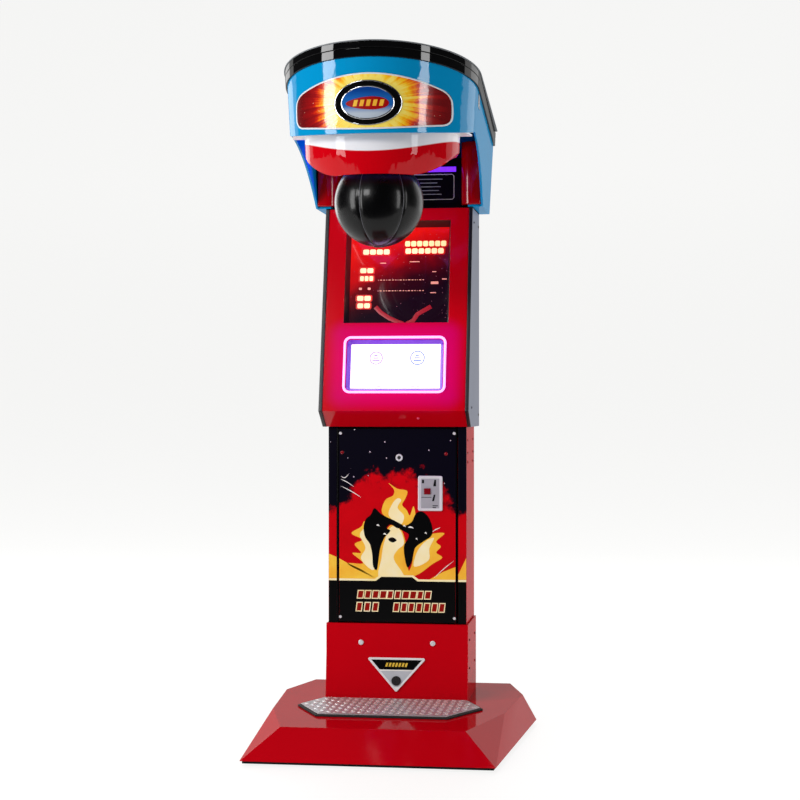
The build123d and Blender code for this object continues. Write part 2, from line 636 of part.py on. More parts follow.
# ---- Coin unit ----------------------------------------------------------------------------------------
def make_coin_unit():
    back = CAB_FRONT - DECAL
    front = back - COIN_THICK
    cx, cz = coin_spot(0, 0)
    outline = Pos(cx, cz) * RectangleRounded(COIN_WIDE, COIN_HIGH, COIN_CORNER)
    dish = Pos(cx, cz) * RectangleRounded(COIN_WIDE - 2 * COIN_RIM, COIN_HIGH - 2 * COIN_RIM,
                                          COIN_CORNER / 2)
    plate = prism_y(outline, front, back)
    plate = chamfer(plate.faces().sort_by(Axis.Y)[0].edges(), COIN_DISH)
    plate -= prism_y(dish, front - 1, front + COIN_DISH)
    plate -= coin_hole(SLOT_X, SLOT_Z, SLOT_WIDE, SLOT_HIGH, front, back + 1)
    plate -= coin_hole(BUTTON_X, BUTTON_Z, BUTTON_WIDE + 2 * FIT, BUTTON_HIGH + 2 * FIT, front, back + 1)
    plate -= coin_hole(FLAP_X, FLAP_Z, FLAP_WIDE + 2 * FIT, FLAP_HIGH + 2 * FIT, front, back + 1)
    save("coin_plate", plate)

    face = front + COIN_DISH
    button = coin_hole(BUTTON_X, BUTTON_Z, BUTTON_WIDE, BUTTON_HIGH, face - BUTTON_PROUD, back)
    button = fillet(button.faces().sort_by(Axis.Y)[0].edges(), BUTTON_PROUD / 3)
    save("coin_reject_button", button)

    flap = coin_hole(FLAP_X, FLAP_Z, FLAP_WIDE, FLAP_HIGH, face + FIT, face + FIT + FLAP_THICK)
    save("coin_return_flap", flap)

    acceptor = acceptor_body(0, back, back + ACCEPTOR_DEEP)
    acceptor -= coin_hole(SLOT_X, SLOT_Z, SLOT_WIDE + 1, SLOT_HIGH + 1, back - 1, back + ACCEPTOR_DEEP / 2)
    acceptor -= coin_hole(BUTTON_X, BUTTON_Z, BUTTON_WIDE + 2 * FIT, BUTTON_HIGH + 2 * FIT,
                          back - 1, back + BUTTON_TRAVEL + 1)
    acceptor -= coin_hole(FLAP_X, FLAP_Z, FLAP_WIDE + 2 * FIT, FLAP_HIGH + 2 * FIT,
                          back - 1, back + FLAP_SWING_ROOM)
    save("coin_acceptor", acceptor)


# ---- Inside the cabinet -------------------------------------------------------------------------------
def make_electrics():
    wall = CAB_BACK - SHEET
    box = block(-CASH_HALF, CASH_HALF, CASH_FRONT, CASH_BACK, BASE_TOP, BASE_TOP + CASH_HIGH)
    box -= block(DOOR_SHEET - CASH_HALF, CASH_HALF - DOOR_SHEET, CASH_FRONT + DOOR_SHEET,
                 CASH_BACK - DOOR_SHEET, BASE_TOP + DOOR_SHEET, BASE_TOP + CASH_HIGH - DOOR_SHEET)
    box -= block(COIN_X - CASH_SLOT / 2, COIN_X - ACCEPTOR_EDGE, CASH_FRONT + SHEET,
                 CASH_FRONT + CASH_SLOT / 2, BASE_TOP + CASH_HIGH - SHEET, BASE_TOP + CASH_HIGH + SHEET)
    save("cash_box", box)

    card_y = wall - STANDOFF
    board_top = BOARD_LOW + BOARD_HIGH
    board = block(-BOARD_HALF, BOARD_HALF, card_y - BOARD_THICK, card_y, BOARD_LOW, board_top)
    for x in (STANDOFF - BOARD_HALF, BOARD_HALF - STANDOFF):
        for z in (BOARD_LOW + STANDOFF, board_top - STANDOFF):
            board += rod_y(x, card_y, wall, z, STANDOFF / 2)
    for x, tall, up in CHIPS:
        board += block(x - CHIP_HALF, x + CHIP_HALF, card_y - tall, card_y - BOARD_THICK, BOARD_LOW + up,
                       board_top - CHIP_ROOM)
    save("control_board", board)

    supply = block(-SUPPLY_HALF, SUPPLY_HALF, wall - SUPPLY_DEEP, wall, SUPPLY_Z, SUPPLY_Z + SUPPLY_HIGH)
    supply -= block(-SUPPLY_HALF - 1, STANDOFF * 2 - SUPPLY_HALF, wall - SUPPLY_DEEP - 1, wall - STANDOFF,
                    SUPPLY_Z + STANDOFF, SUPPLY_Z + SUPPLY_HIGH - STANDOFF)
    save("power_supply", supply)

    wide = INLET_WIDE / 2
    high = INLET_HIGH / 2
    inlet = block(INLET_X - wide, INLET_X + wide, CAB_BACK - INLET_DEEP, CAB_BACK, INLET_Z - high,
                  INLET_Z + high)
    inlet += block(INLET_X - wide - SHEET, INLET_X + wide + SHEET, CAB_BACK, CAB_BACK + DOOR_SHEET,
                   INLET_Z - high - SHEET, INLET_Z + high + SHEET)
    socket_z = INLET_Z - high / 2
    face = CAB_BACK + DOOR_SHEET
    inlet -= block(INLET_X - SOCKET_WIDE / 2, INLET_X + SOCKET_WIDE / 2, face - SOCKET_DEEP, face + 1,
                   socket_z - SOCKET_HIGH / 2, socket_z + SOCKET_HIGH / 2)
    for x, z in SOCKET_PINS:
        inlet += block(INLET_X + x - PIN_HALF_WIDE, INLET_X + x + PIN_HALF_WIDE, face - SOCKET_DEEP - 1,
                       face - SHEET, socket_z + z - PIN_HALF_HIGH, socket_z + z + PIN_HALF_HIGH)
    rocker_z = INLET_Z + high / 2
    inlet -= block(INLET_X - ROCKER_WIDE / 2 - FIT, INLET_X + ROCKER_WIDE / 2 + FIT,
                   face - ROCKER_DEEP - SHEET, face + 1,
                   rocker_z - ROCKER_HIGH / 2 - ROCKER_ROOM, rocker_z + ROCKER_HIGH / 2 + ROCKER_ROOM)
    save("mains_inlet", inlet)
    rocker = block(-ROCKER_WIDE / 2, ROCKER_WIDE / 2, -ROCKER_DEEP / 2, ROCKER_DEEP / 2,
                   -ROCKER_HIGH / 2, ROCKER_HIGH / 2)
    pivot = rod_x(-ROCKER_WIDE / 2 - FIT, ROCKER_WIDE / 2 + FIT, 0, 0, SHEET / 2)
    save("power_switch", Pos(INLET_X, face - ROCKER_DEEP / 2, rocker_z) * Rot(ROCKER_TILT, 0, 0)
         * (rocker + pivot))


# ---- Display housing ----------------------------------------------------------------------------------
HOUSE_HALF = CAB_HALF + HOUSE_PROUD
HOUSE_BACK = CAB_BACK + HOUSE_PROUD_BACK
FACE_LEAN = atan2(FACE_TOP_Y - FACE_LOW_Y, HOUSE_TOP - FACE_LOW_Z)
FACE_LONG = hypot(FACE_TOP_Y - FACE_LOW_Y, HOUSE_TOP - FACE_LOW_Z)
FACE = Plane(origin=(0, FACE_LOW_Y, FACE_LOW_Z), x_dir=(1, 0, 0),
             z_dir=(0, -cos(FACE_LEAN), sin(FACE_LEAN)))
CHIN_BACK_Y = CAB_FRONT - CHIN_OUT
CHIN_DROP = atan2(FACE_LOW_Z - CAB_TOP, CHIN_BACK_Y - FACE_LOW_Y)
CHIN_LONG = hypot(FACE_LOW_Z - CAB_TOP, CHIN_BACK_Y - FACE_LOW_Y)
CHIN = Plane(origin=(0, FACE_LOW_Y, FACE_LOW_Z), x_dir=(1, 0, 0),
             z_dir=(0, -sin(CHIN_DROP), -cos(CHIN_DROP)))
SIDE_IN = HOUSE_HALF - HOUSE_SIDE
DISPLAY_HALF = SIDE_IN - DISPLAY_SIDE
SCREEN_HALF = SIDE_IN - SCREEN_SIDE


def slab(plane, u0, u1, v0, v1, w0, w1):
    """A box in a face's own axes: across, up the face and out of it."""
    middle = Pos((u0 + u1) / 2, (v0 + v1) / 2, (w0 + w1) / 2)
    return plane.location * middle * Box(u1 - u0, v1 - v0, w1 - w0)


def recess(half, low, high, deep, splay, corner=0.0):
    """A recess sunk in the face, narrowing by splay towards its bottom."""
    size = (2 * half, high)
    mouth = RectangleRounded(*size, corner) if corner else Rectangle(*size)
    angle = degrees(atan2(splay, deep))
    start = FACE.location * Pos(0, low + high / 2, 0) * mouth
    return extrude(start, amount=-deep, taper=angle)


def make_housing():
    profile = Polygon((FACE_LOW_Y, FACE_LOW_Z), (FACE_TOP_Y, HOUSE_TOP), (HOUSE_BACK, HOUSE_TOP),
                      (HOUSE_BACK, CAB_TOP), (CHIN_BACK_Y, CAB_TOP), align=None)
    side = prism_x(profile, SIDE_IN, HOUSE_HALF)
    save("housing_side_right", side)
    save("housing_side_left", mirror(side, about=Plane.YZ))

    wall = SHEET
    front = slab(FACE, -SIDE_IN, SIDE_IN, 0, FACE_LONG, -wall, 0)
    front += slab(CHIN, -SIDE_IN, SIDE_IN, -CHIN_LONG, 0, -wall, 0)
    front -= slab(FACE, -DISPLAY_HALF, DISPLAY_HALF, DISPLAY_LOW, DISPLAY_LOW + DISPLAY_HIGH,
                  -2 * wall, wall)
    mouth = FACE.location * Pos(0, SCREEN_LOW + SCREEN_HIGH / 2, -2 * wall)
    front -= extrude(mouth * RectangleRounded(2 * SCREEN_HALF, SCREEN_HIGH, SCREEN_CORNER), amount=4 * wall)
    front -= extrude(CHIN.offset(-2 * wall).location * Pos(LAMP_X, -LAMP_DOWN) * Circle(LAMP_RADIUS - 1),
                     amount=4 * wall)
    front -= block(-SIDE_IN, SIDE_IN, FACE_LOW_Y, HOUSE_BACK, HOUSE_TOP, HOUSE_TOP + 2 * wall)
    front -= block(-SIDE_IN, SIDE_IN, FACE_LOW_Y, HOUSE_BACK, CAB_TOP - 2 * wall, CAB_TOP)
    save("housing_front", front)

    back = block(-SIDE_IN, SIDE_IN, HOUSE_BACK - wall, HOUSE_BACK, CAB_TOP, HOUSE_TOP)
    for index in range(VENTS):
        z = HOUSE_TOP - VENT_WIDE - index * 2 * VENT_HIGH
        back -= block(-VENT_WIDE / 2, VENT_WIDE / 2, HOUSE_BACK - 2 * wall, HOUSE_BACK + wall,
                      z, z + VENT_HIGH)
    save("housing_back", back)

    ring = offset(profile, amount=MOULD_PROUD, kind=Kind.INTERSECTION) - profile
    mould = prism_x(ring, SIDE_IN, HOUSE_HALF)
    front_edge = block(SIDE_IN, HOUSE_HALF, FACE_LOW_Y - HOUSE_SIDE, FACE_TOP_Y, CAB_TOP, HOUSE_TOP)
    save("edge_mouldings", mirrored(mould & front_edge))

    rim = SURROUND_WALL
    surround = slab(FACE, -DISPLAY_HALF - rim, DISPLAY_HALF + rim, DISPLAY_LOW - rim,
                    DISPLAY_LOW + DISPLAY_HIGH + rim, -DISPLAY_DEEP, -wall)
    surround -= recess(DISPLAY_HALF, DISPLAY_LOW, DISPLAY_HIGH, DISPLAY_DEEP + 1, DISPLAY_SPLAY)
    save("display_surround", surround)
    glass_front = -DISPLAY_DEEP
    save("display_glass", slab(FACE, -DISPLAY_HALF, DISPLAY_HALF, DISPLAY_LOW, DISPLAY_LOW + DISPLAY_HIGH,
                               glass_front - GLASS, glass_front))
    card = glass_front - GLASS - STANDOFF
    digits = slab(FACE, STANDOFF - DISPLAY_HALF, DISPLAY_HALF - STANDOFF, DISPLAY_LOW + STANDOFF,
                  DISPLAY_LOW + DISPLAY_HIGH - STANDOFF, card - 2, card)
    for x, v, wide, high in DIGIT_BLOCKS:
        digits += slab(FACE, x - wide / 2, x + wide / 2, DISPLAY_LOW + v - high / 2,
                       DISPLAY_LOW + v + high / 2, card, glass_front - GLASS)
    save("digit_modules", digits)

    sunk = slab(FACE, -SCREEN_HALF - rim, SCREEN_HALF + rim, SCREEN_LOW - rim,
                SCREEN_LOW + SCREEN_HIGH + rim, -SCREEN_DEEP, -wall)
    sunk -= recess(SCREEN_HALF, SCREEN_LOW, SCREEN_HIGH, SCREEN_DEEP + 1, SCREEN_SPLAY, SCREEN_CORNER)
    save("lower_surround", sunk)
    save("lower_screen", slab(FACE, -SCREEN_HALF, SCREEN_HALF, SCREEN_LOW, SCREEN_LOW + SCREEN_HIGH,
                              -SCREEN_DEEP - 2 * GLASS, -SCREEN_DEEP))
    reach = NEON_GAP + NEON_RADIUS
    path = FACE.location * Pos(0, SCREEN_LOW + SCREEN_HIGH / 2, NEON_RADIUS) * RectangleRounded(
        2 * (SCREEN_HALF + reach), SCREEN_HIGH + 2 * reach, SCREEN_CORNER + reach)
    loop = path.faces()[0].outer_wire()
    section = Plane(origin=loop @ 0, z_dir=loop % 0) * Circle(NEON_RADIUS)
    save("neon_tube", sweep(section, path=loop))
    spot = Pos(LAMP_X, -LAMP_DOWN)
    lamp = extrude(CHIN.offset(-wall).location * spot * Circle(LAMP_RADIUS - 1), amount=wall)
    dome = CHIN.location * spot * Sphere(LAMP_RADIUS)
    save("chin_lamp", lamp + split(dome, bisect_by=CHIN, keep=Keep.TOP))


# ---- Head ---------------------------------------------------------------------------------------------
LEG_Z = HOUSE_TOP + SHEET
DRAFT_RUN = tan(radians(DRAFT))
TILT_RUN = tan(radians(RIM_TILT))
BLANK_LOW = LEG_Z - SHELL_WALL
BLANK_HIGH = RIM_FRONT_Z + RIM_HIGH


def head_section(z, inset, back):
    """The level outline of the head at a height: a rounded nose and straight sides."""
    run_in = DRAFT_RUN * (RIM_FRONT_Z - z) + inset
    half = HEAD_HALF - run_in
    nose = EllipticalCenterArc((0, NOSE_Y), half, NOSE_DEPTH - run_in, 180, arc_size=180)
    sides = Polyline((half, NOSE_Y), (half, back), (-half, back), (-half, NOSE_Y))
    return Pos(0, 0, z) * make_face([nose, *sides.edges()])


def head_blank(inset, low=BLANK_LOW, high=BLANK_HIGH, tuck=0.0, back=None):
    """The head's outer form, set in by an inset, between two heights. tuck narrows its lower end."""
    back = HEAD_BACK - inset if back is None else back
    return loft([head_section(low, inset + tuck, back), head_section(high, inset, back)], ruled=True)


def rim_z(y, drop):
    """Height of the tilted rim plane, lowered by a drop."""
    return RIM_FRONT_Z - drop - TILT_RUN * (y - RIM_FRONT_Y)


def tilted_slab(drop_high, drop_low):
    """Everything between two heights of the tilted rim plane."""
    front = 2 * RIM_FRONT_Y
    back = 2 * HEAD_BACK
    profile = Polygon((front, rim_z(front, drop_high)), (back, rim_z(back, drop_high)),
                      (back, rim_z(back, drop_low)), (front, rim_z(front, drop_low)), align=None)
    return prism_x(profile, -2 * HEAD_HALF, 2 * HEAD_HALF)


def shell_side_view():
    """Side view of the shell: tilted top, legs at the back and an arch under the visor."""
    front = CUT_FRONT_Y
    back = HEAD_BACK + RIM_HIGH
    visor = ThreePointArc((front, VISOR_Z), ((front + ARCH_Y) / 2, (VISOR_Z + ARCH_Z) / 2 - RIM_PROUD),
                          (ARCH_Y, ARCH_Z))
    leg = ThreePointArc((ARCH_Y, ARCH_Z), (0, ARCH_Z - ARCH_FALL), (LEG_FRONT, LEG_Z))
    rest = Polyline((LEG_FRONT, LEG_Z), (back, LEG_Z), (back, rim_z(back, 0)), (front, rim_z(front, 0)),
                    (front, VISOR_Z))
    return make_face([visor, leg, *rest.edges()])


def front_skin(outline, proud, deep=SHELL_WALL / 4):
    """A skin on the curved front with a given front view."""
    skin = head_blank(-proud) - head_blank(deep)
    return skin & prism_y(outline, CUT_FRONT_Y, ARCH_Y)


def marquee_outline():
    low = ThreePointArc((-MARQUEE_HALF, MARQUEE_END_LOW), (0, MARQUEE_LOW), (MARQUEE_HALF, MARQUEE_END_LOW))
    end_z = (MARQUEE_END_LOW + MARQUEE_END_HIGH) / 2
    right = ThreePointArc((MARQUEE_HALF, MARQUEE_END_LOW), (MARQUEE_HALF + EMBLEM_PROUD, end_z),
                          (MARQUEE_HALF, MARQUEE_END_HIGH))
    top = ThreePointArc((MARQUEE_HALF, MARQUEE_END_HIGH), (0, MARQUEE_TOP),
                        (-MARQUEE_HALF, MARQUEE_END_HIGH))
    left = ThreePointArc((-MARQUEE_HALF, MARQUEE_END_HIGH), (-MARQUEE_HALF - EMBLEM_PROUD, end_z),
                         (-MARQUEE_HALF, MARQUEE_END_LOW))
    whole = make_face([low, right, top, left])
    return fillet(whole.vertices(), MARQUEE_CORNER)


def lip_outline():
    """Front view of the visor lip: straight top and an arched lower edge with a flat middle."""
    half = HEAD_HALF - LIP_INSET
    shoulder_x = half * LIP_SHOULDER
    shoulder_z = LIP_BEND - RIM_PROUD
    right = ThreePointArc((LIP_FLAT, LIP_LOW), (shoulder_x, shoulder_z), (half, LIP_SIDE_Z))
    left = ThreePointArc((-half, LIP_SIDE_Z), (-shoulder_x, shoulder_z), (-LIP_FLAT, LIP_LOW))
    top = Polyline((half, LIP_SIDE_Z), (half, LIP_TOP), (-half, LIP_TOP), (-half, LIP_SIDE_Z))
    return make_face([right, *top.edges(), left, Line((-LIP_FLAT, LIP_LOW), (LIP_FLAT, LIP_LOW))])


def make_head():
    hollow = head_blank(SHELL_WALL)
    shell = (head_blank(0) - hollow) & prism_x(shell_side_view(), -2 * HEAD_HALF, 2 * HEAD_HALF)
    ring = (head_blank(SHELL_WALL / 2) & block(-HEAD_HALF, HEAD_HALF, LEG_FRONT + SHEET, HEAD_BACK,
                                               LEG_Z, LEG_Z + FLANGE_THICK))
    flange_in = HOUSE_HALF - FLANGE_LAP
    ring -= block(-flange_in, flange_in, 0, HOUSE_BACK - 2 * SHEET, LEG_Z - 1, LEG_Z + FLANGE_THICK + 1)
    save("head_shell", shell + ring)

    rim = (head_blank(-RIM_PROUD) - head_blank(0)) & tilted_slab(0, RIM_HIGH)
    groove = (head_blank(-2 * RIM_PROUD) - head_blank(-RIM_PROUD / 2)) & tilted_slab(RIM_SEAM,
                                                                                    RIM_SEAM + RIM_GROOVE)
    save("head_rim", rim - groove)

    lid_place = Pos(0, RIM_FRONT_Y, RIM_FRONT_Z) * Rot(-RIM_TILT, 0, 0) * Pos(0, -RIM_FRONT_Y, -RIM_FRONT_Z)
    crown = RIM_FRONT_Z + LID_THICK + LID_CROWN
    edge = RIM_FRONT_Z + LID_THICK
    flat = loft([head_section(RIM_FRONT_Z, -RIM_PROUD, HEAD_BACK),
                 head_section(edge, -RIM_PROUD, HEAD_BACK)], ruled=True)
    dome = loft([head_section(edge, 0, HEAD_BACK - RIM_PROUD),
                 head_section(crown, LID_CROWN_INSET, HEAD_BACK - LID_CROWN_INSET)], ruled=True)
    under = loft([head_section(edge - LID_THICK, LID_THICK, HEAD_BACK - RIM_PROUD - LID_THICK),
                  head_section(crown - LID_THICK, LID_CROWN_INSET + LID_THICK,
                               HEAD_BACK - LID_CROWN_INSET - LID_THICK)], ruled=True)
    save("head_lid", lid_place * (flat + dome - under))

    panel = marquee_outline()
    save("marquee_panel", front_skin(panel, SHELL_WALL / 4, 0))
    badge = front_skin(Pos(0, EMBLEM_Z) * Ellipse(EMBLEM_HALF, EMBLEM_HIGH), EMBLEM_PROUD, 0)
    save("emblem", badge - head_blank(-SHELL_WALL / 4))

    outer = head_blank(LIP_INSET, LIP_BEND, LIP_TOP, back=0)
    outer += head_blank(LIP_INSET, LIP_LOW - SHELL_WALL, LIP_BEND, LIP_TUCK, back=0)
    inset = LIP_INSET + SHELL_WALL
    inner = head_blank(inset, LIP_BEND, LIP_TOP, back=0)
    inner += head_blank(inset, LIP_LOW - SHELL_WALL, LIP_BEND, LIP_TUCK, back=0)
    front = prism_y(lip_outline(), CUT_FRONT_Y, LIP_BACK)
    shelf = head_blank(SHELL_WALL, LIP_FLANGE_Z, LIP_FLANGE_Z + LIP_FLANGE, back=0)
    shelf -= head_blank(LIP_INSET + SHELL_WALL / 2, LIP_FLANGE_Z, LIP_FLANGE_Z + LIP_FLANGE, back=0)
    shelf &= block(-HEAD_HALF, HEAD_HALF, CUT_FRONT_Y, LIP_BACK, LIP_FLANGE_Z, LIP_FLANGE_Z + LIP_FLANGE)
    save("visor_lip", ((outer - inner) & front) + shelf)


def make_throat():
    deck = block(-SIDE_IN - HOUSE_SIDE, HOUSE_HALF, FACE_TOP_Y, HOUSE_BACK, HOUSE_TOP, LEG_Z)
    deck -= upright_holes(HOUSE_TOP - 1, LEG_Z + 1)
    wall = block(-THROAT_HALF, THROAT_HALF, THROAT_Y, THROAT_Y + SHEET, HOUSE_TOP, THROAT_TOP)
    save("throat_back", deck + wall)
    save("throat_light", block(-LIGHT_HALF, LIGHT_HALF, THROAT_Y - LIGHT_HIGH / 2, THROAT_Y,
                               LIGHT_Z - LIGHT_HIGH / 2, LIGHT_Z + LIGHT_HIGH / 2))
    leg_in = HEAD_HALF - DRAFT_RUN * (RIM_FRONT_Z - LEG_Z) - SHELL_WALL - FIT
    cheek = block(CHEEK_IN, leg_in, CHEEK_FRONT, HOUSE_BACK - 2 * SHEET, LEG_Z + FLANGE_THICK, CHEEK_TOP)
    inner_edge = cheek.edges().filter_by(Axis.Z).sort_by(Axis.Y)[:2].sort_by(Axis.X)[0]
    cheek = fillet(inner_edge, CHEEK_ROUND)
    save("throat_cheeks", mirrored(cheek))


# ---- Punch mechanism ----------------------------------------------------------------------------------
BALL_FLAT = BALL_RADIUS - BALL_CUT
BALL_Z = PIVOT_Z - ARM_LONG - BALL_FLAT
SHAFT_HALF = COLUMN_OUT + SHAFT_END
VANE_X = COLUMN_OUT + VANE_GAP
def make_mechanism():
    bearing_x = COLUMN_X + TUBE_WIDE / 2
    bearing = block(bearing_x - BEARING_HALF, bearing_x + BEARING_HALF, PIVOT_Y - BEARING_DEEP,
                    PIVOT_Y + BEARING_DEEP, ARM_TOP, PIVOT_Z + BEARING_HIGH)
    top_edges = bearing.edges().filter_by(Axis.X).sort_by(Axis.Z)[-2:]
    bearing = fillet(top_edges, BEARING_DEEP * 0.7)
    bearing -= rod_x(0, 2 * bearing_x, PIVOT_Y, PIVOT_Z, SHAFT_RADIUS + RUN)
    save("bearings", mirrored(bearing))

    shaft = rod_x(-SHAFT_HALF, SHAFT_HALF, PIVOT_Y, PIVOT_Z, SHAFT_RADIUS)
    save("pivot_shaft", shaft)

    ball_top = BALL_Z + BALL_FLAT
    arm = rod_x(-HUB_HALF, HUB_HALF, PIVOT_Y, PIVOT_Z, HUB_RADIUS)
    arm += rod_z(0, PIVOT_Y, ball_top, PIVOT_Z, ARM_RADIUS)
    arm += rod_z(0, PIVOT_Y, ball_top, ball_top + BALL_FLANGE, FLANGE_RADIUS)
    arm += block(-HUB_HALF, HUB_HALF, PIVOT_Y - HORN_THICK / 2, PIVOT_Y + HORN_THICK / 2,
                 PIVOT_Z, PIVOT_Z + HORN_HIGH)
    save("swing_arm", arm - rod_x(-SHAFT_HALF, SHAFT_HALF, PIVOT_Y, PIVOT_Z, SHAFT_RADIUS + RUN))

    ball = Pos(0, PIVOT_Y, BALL_Z) * Sphere(BALL_RADIUS)
    ball -= block(-BALL_RADIUS, BALL_RADIUS, PIVOT_Y - BALL_RADIUS, PIVOT_Y + BALL_RADIUS, ball_top,
                  BALL_Z + 2 * BALL_RADIUS)
    save("punch_ball", ball)

    buffer_y = PIVOT_Y - BUFFER_BACK
    buffer_top = PIVOT_Z + BUFFER_UP
    end_stop = rod_z(BUFFER_X, buffer_y, ARM_TOP, buffer_top, BUFFER_RADIUS)
    rest_stop = rod_y(0, CROSS_BACK, PIVOT_Y - ARM_RADIUS - FIT, ARM_TOP - CROSS_DEEP / 2, BUFFER_RADIUS)
    save("stop_buffers", Compound(children=[end_stop, rest_stop]))
    save("catch_magnet", rod_z(-BUFFER_X, buffer_y, ARM_TOP, buffer_top, BUFFER_RADIUS))

    vane = rod_x(VANE_X, VANE_X + VANE_THICK, PIVOT_Y, PIVOT_Z, VANE_RADIUS)
    vane -= rod_x(VANE_X - 1, VANE_X + VANE_THICK + 1, PIVOT_Y, PIVOT_Z, SHAFT_RADIUS + RUN)
    slot_out = Pos(VANE_X + VANE_THICK / 2, PIVOT_Y, PIVOT_Z)
    for index in range(VANE_SLOTS):
        turn = Rot(index * 360 / VANE_SLOTS, 0, 0)
        slot = Box(2 * VANE_THICK, VANE_SLOT_WIDE, VANE_SLOT_LONG)
        vane -= slot_out * turn * Pos(0, 0, VANE_RADIUS - VANE_SLOT_IN) * slot
    save("speed_vane", vane)
    vane_mid = VANE_X + VANE_THICK / 2
    low = PIVOT_Z - VANE_RADIUS - SENSOR_SLOT
    sensor = block(COLUMN_OUT, vane_mid + SENSOR_SLOT + SHEET, PIVOT_Y - SENSOR_HALF, PIVOT_Y + SENSOR_HALF,
                   low - SENSOR_SLOT, low + 2 * SENSOR_SLOT + SHEET)
    sensor -= block(vane_mid - SENSOR_SLOT / 2, vane_mid + SENSOR_SLOT / 2, PIVOT_Y - SENSOR_HALF - 1,
                    PIVOT_Y + SENSOR_HALF + 1, low, low + 4 * SENSOR_SLOT)
    save("speed_sensor", sensor)


for make in (make_base, make_plinth, make_column, make_cabinet, make_door, make_coin_unit, make_electrics,
             make_housing, make_head, make_throat, make_mechanism):
    make()
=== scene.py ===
# %% [markdown]
# # A boxing punch machine, dressed for the studio
# The machine is already built as solids, to size and with joints. This lesson gives it its looks:
# enamel, gelcoat, printed film, leather, chequer plate and light. We start by loading the solids.
# They are a fixed frame, so every new piece takes its place from them.

# %% Load the frame
import json
import math
import random

import bmesh
import bpy
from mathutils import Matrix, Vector


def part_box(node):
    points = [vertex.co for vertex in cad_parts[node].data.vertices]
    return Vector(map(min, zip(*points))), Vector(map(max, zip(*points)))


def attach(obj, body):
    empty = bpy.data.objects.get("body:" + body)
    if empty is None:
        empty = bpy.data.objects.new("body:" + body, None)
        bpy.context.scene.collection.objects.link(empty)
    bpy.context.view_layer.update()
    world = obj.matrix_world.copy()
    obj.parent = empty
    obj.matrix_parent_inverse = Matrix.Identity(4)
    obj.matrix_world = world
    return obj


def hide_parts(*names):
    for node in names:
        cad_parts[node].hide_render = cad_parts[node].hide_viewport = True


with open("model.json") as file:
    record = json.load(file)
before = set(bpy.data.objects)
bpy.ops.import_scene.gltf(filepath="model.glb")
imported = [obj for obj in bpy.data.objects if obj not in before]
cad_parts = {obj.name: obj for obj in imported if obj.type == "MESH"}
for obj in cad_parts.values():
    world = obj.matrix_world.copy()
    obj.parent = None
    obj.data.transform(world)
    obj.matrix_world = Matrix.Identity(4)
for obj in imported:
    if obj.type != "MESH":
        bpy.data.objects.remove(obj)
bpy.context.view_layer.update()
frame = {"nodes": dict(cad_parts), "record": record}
NODES = frame["nodes"]
RECORD = frame["record"]
BODY_OF = {node: body for body, names in RECORD["behaviour"]["bodies"].items() for node in names}
SLOT_OF = {part["node"]: part["material_slot"] for part in RECORD["subparts"]}
MM = 0.001

# %% [markdown]
# ## The studio
# A product like this is shot on a white sweep: the floor curves up behind it and has no edge.
# The sweep is one bent sheet, and the floor in front of the machine is short, so that black leather and
# black ink don't mirror it and stay black. A soft light on each side, one high in front and two behind
# give the reflections that make enamel look wet. The room looks pale to the camera but gives little light.
# The camera stands about six metres away with a long lens, level, at chest height, a little to the right.

# %% Sweep, lights and camera
def material(name):
    """A new empty material with its output and a Principled shader."""
    made = bpy.data.materials.new(name)
    made.use_nodes = True
    tree = made.node_tree
    tree.nodes.clear()
    out = tree.nodes.new("ShaderNodeOutputMaterial")
    shader = tree.nodes.new("ShaderNodeBsdfPrincipled")
    tree.links.new(shader.outputs["BSDF"], out.inputs["Surface"])
    return made, tree, shader


def add(tree, kind, inputs=None, **settings):
    """Adds a node. inputs holds values, or sockets to link from; settings are the node's own."""
    made = tree.nodes.new("ShaderNode" + kind)
    for name, value in settings.items():
        setattr(made, name, value)
    wire(tree, made, inputs or {})
    return made


def wire(tree, to, inputs):
    """Sets or links a node's inputs."""
    for key, value in inputs.items():
        if isinstance(value, bpy.types.NodeSocket):
            tree.links.new(value, to.inputs[key])
        else:
            to.inputs[key].default_value = value


def linear(code):
    """An sRGB hex colour as linear RGBA."""
    parts = [int(code[i:i + 2], 16) / 255 for i in (1, 3, 5)]
    return [*(c / 12.92 if c <= 0.04045 else ((c + 0.055) / 1.055) ** 2.4 for c in parts), 1.0]


def mesh_object(name, verts, faces):
    """An object made from points and faces."""
    mesh = bpy.data.meshes.new(name)
    mesh.from_pydata([tuple(v) for v in verts], [], [tuple(f) for f in faces])
    mesh.validate()
    made = bpy.data.objects.new(name, mesh)
    bpy.context.scene.collection.objects.link(made)
    return made


def sweep_sheet():
    """A floor that bends up into a wall behind the machine."""
    half, near, bend, radius, height = 14.0, -1.9, 6.0, 3.0, 9.0
    line = [(near, 0.0)]
    line += [(bend + radius * math.sin(math.radians(a)), radius - radius * math.cos(math.radians(a)))
             for a in range(0, 91, 6)]
    line.append((bend + radius, height))
    verts = [(x, y, z) for y, z in line for x in (-half, half)]
    faces = [(2 * i, 2 * i + 1, 2 * i + 3, 2 * i + 2) for i in range(len(line) - 1)]
    made = mesh_object("studio_sweep", verts, faces)
    for face in made.data.polygons:
        face.use_smooth = True
    paper, tree, shader = material("Seamless paper, matte white")
    place = add(tree, "TexCoord")
    fibre = add(tree, "TexNoise", {"Vector": place.outputs["Object"], "Scale": 40.0, "Detail": 3.0})
    tint = add(tree, "Mix", {"Factor": fibre.outputs["Fac"], "A": linear("#585858"), "B": linear("#5C5C5C")},
               data_type="RGBA")
    wire(tree, shader, {"Base Color": tint.outputs["Result"], "Roughness": 0.55,
                        "Emission Color": (1.0, 1.0, 0.99, 1.0), "Emission Strength": 0.87})
    made.data.materials.append(paper)


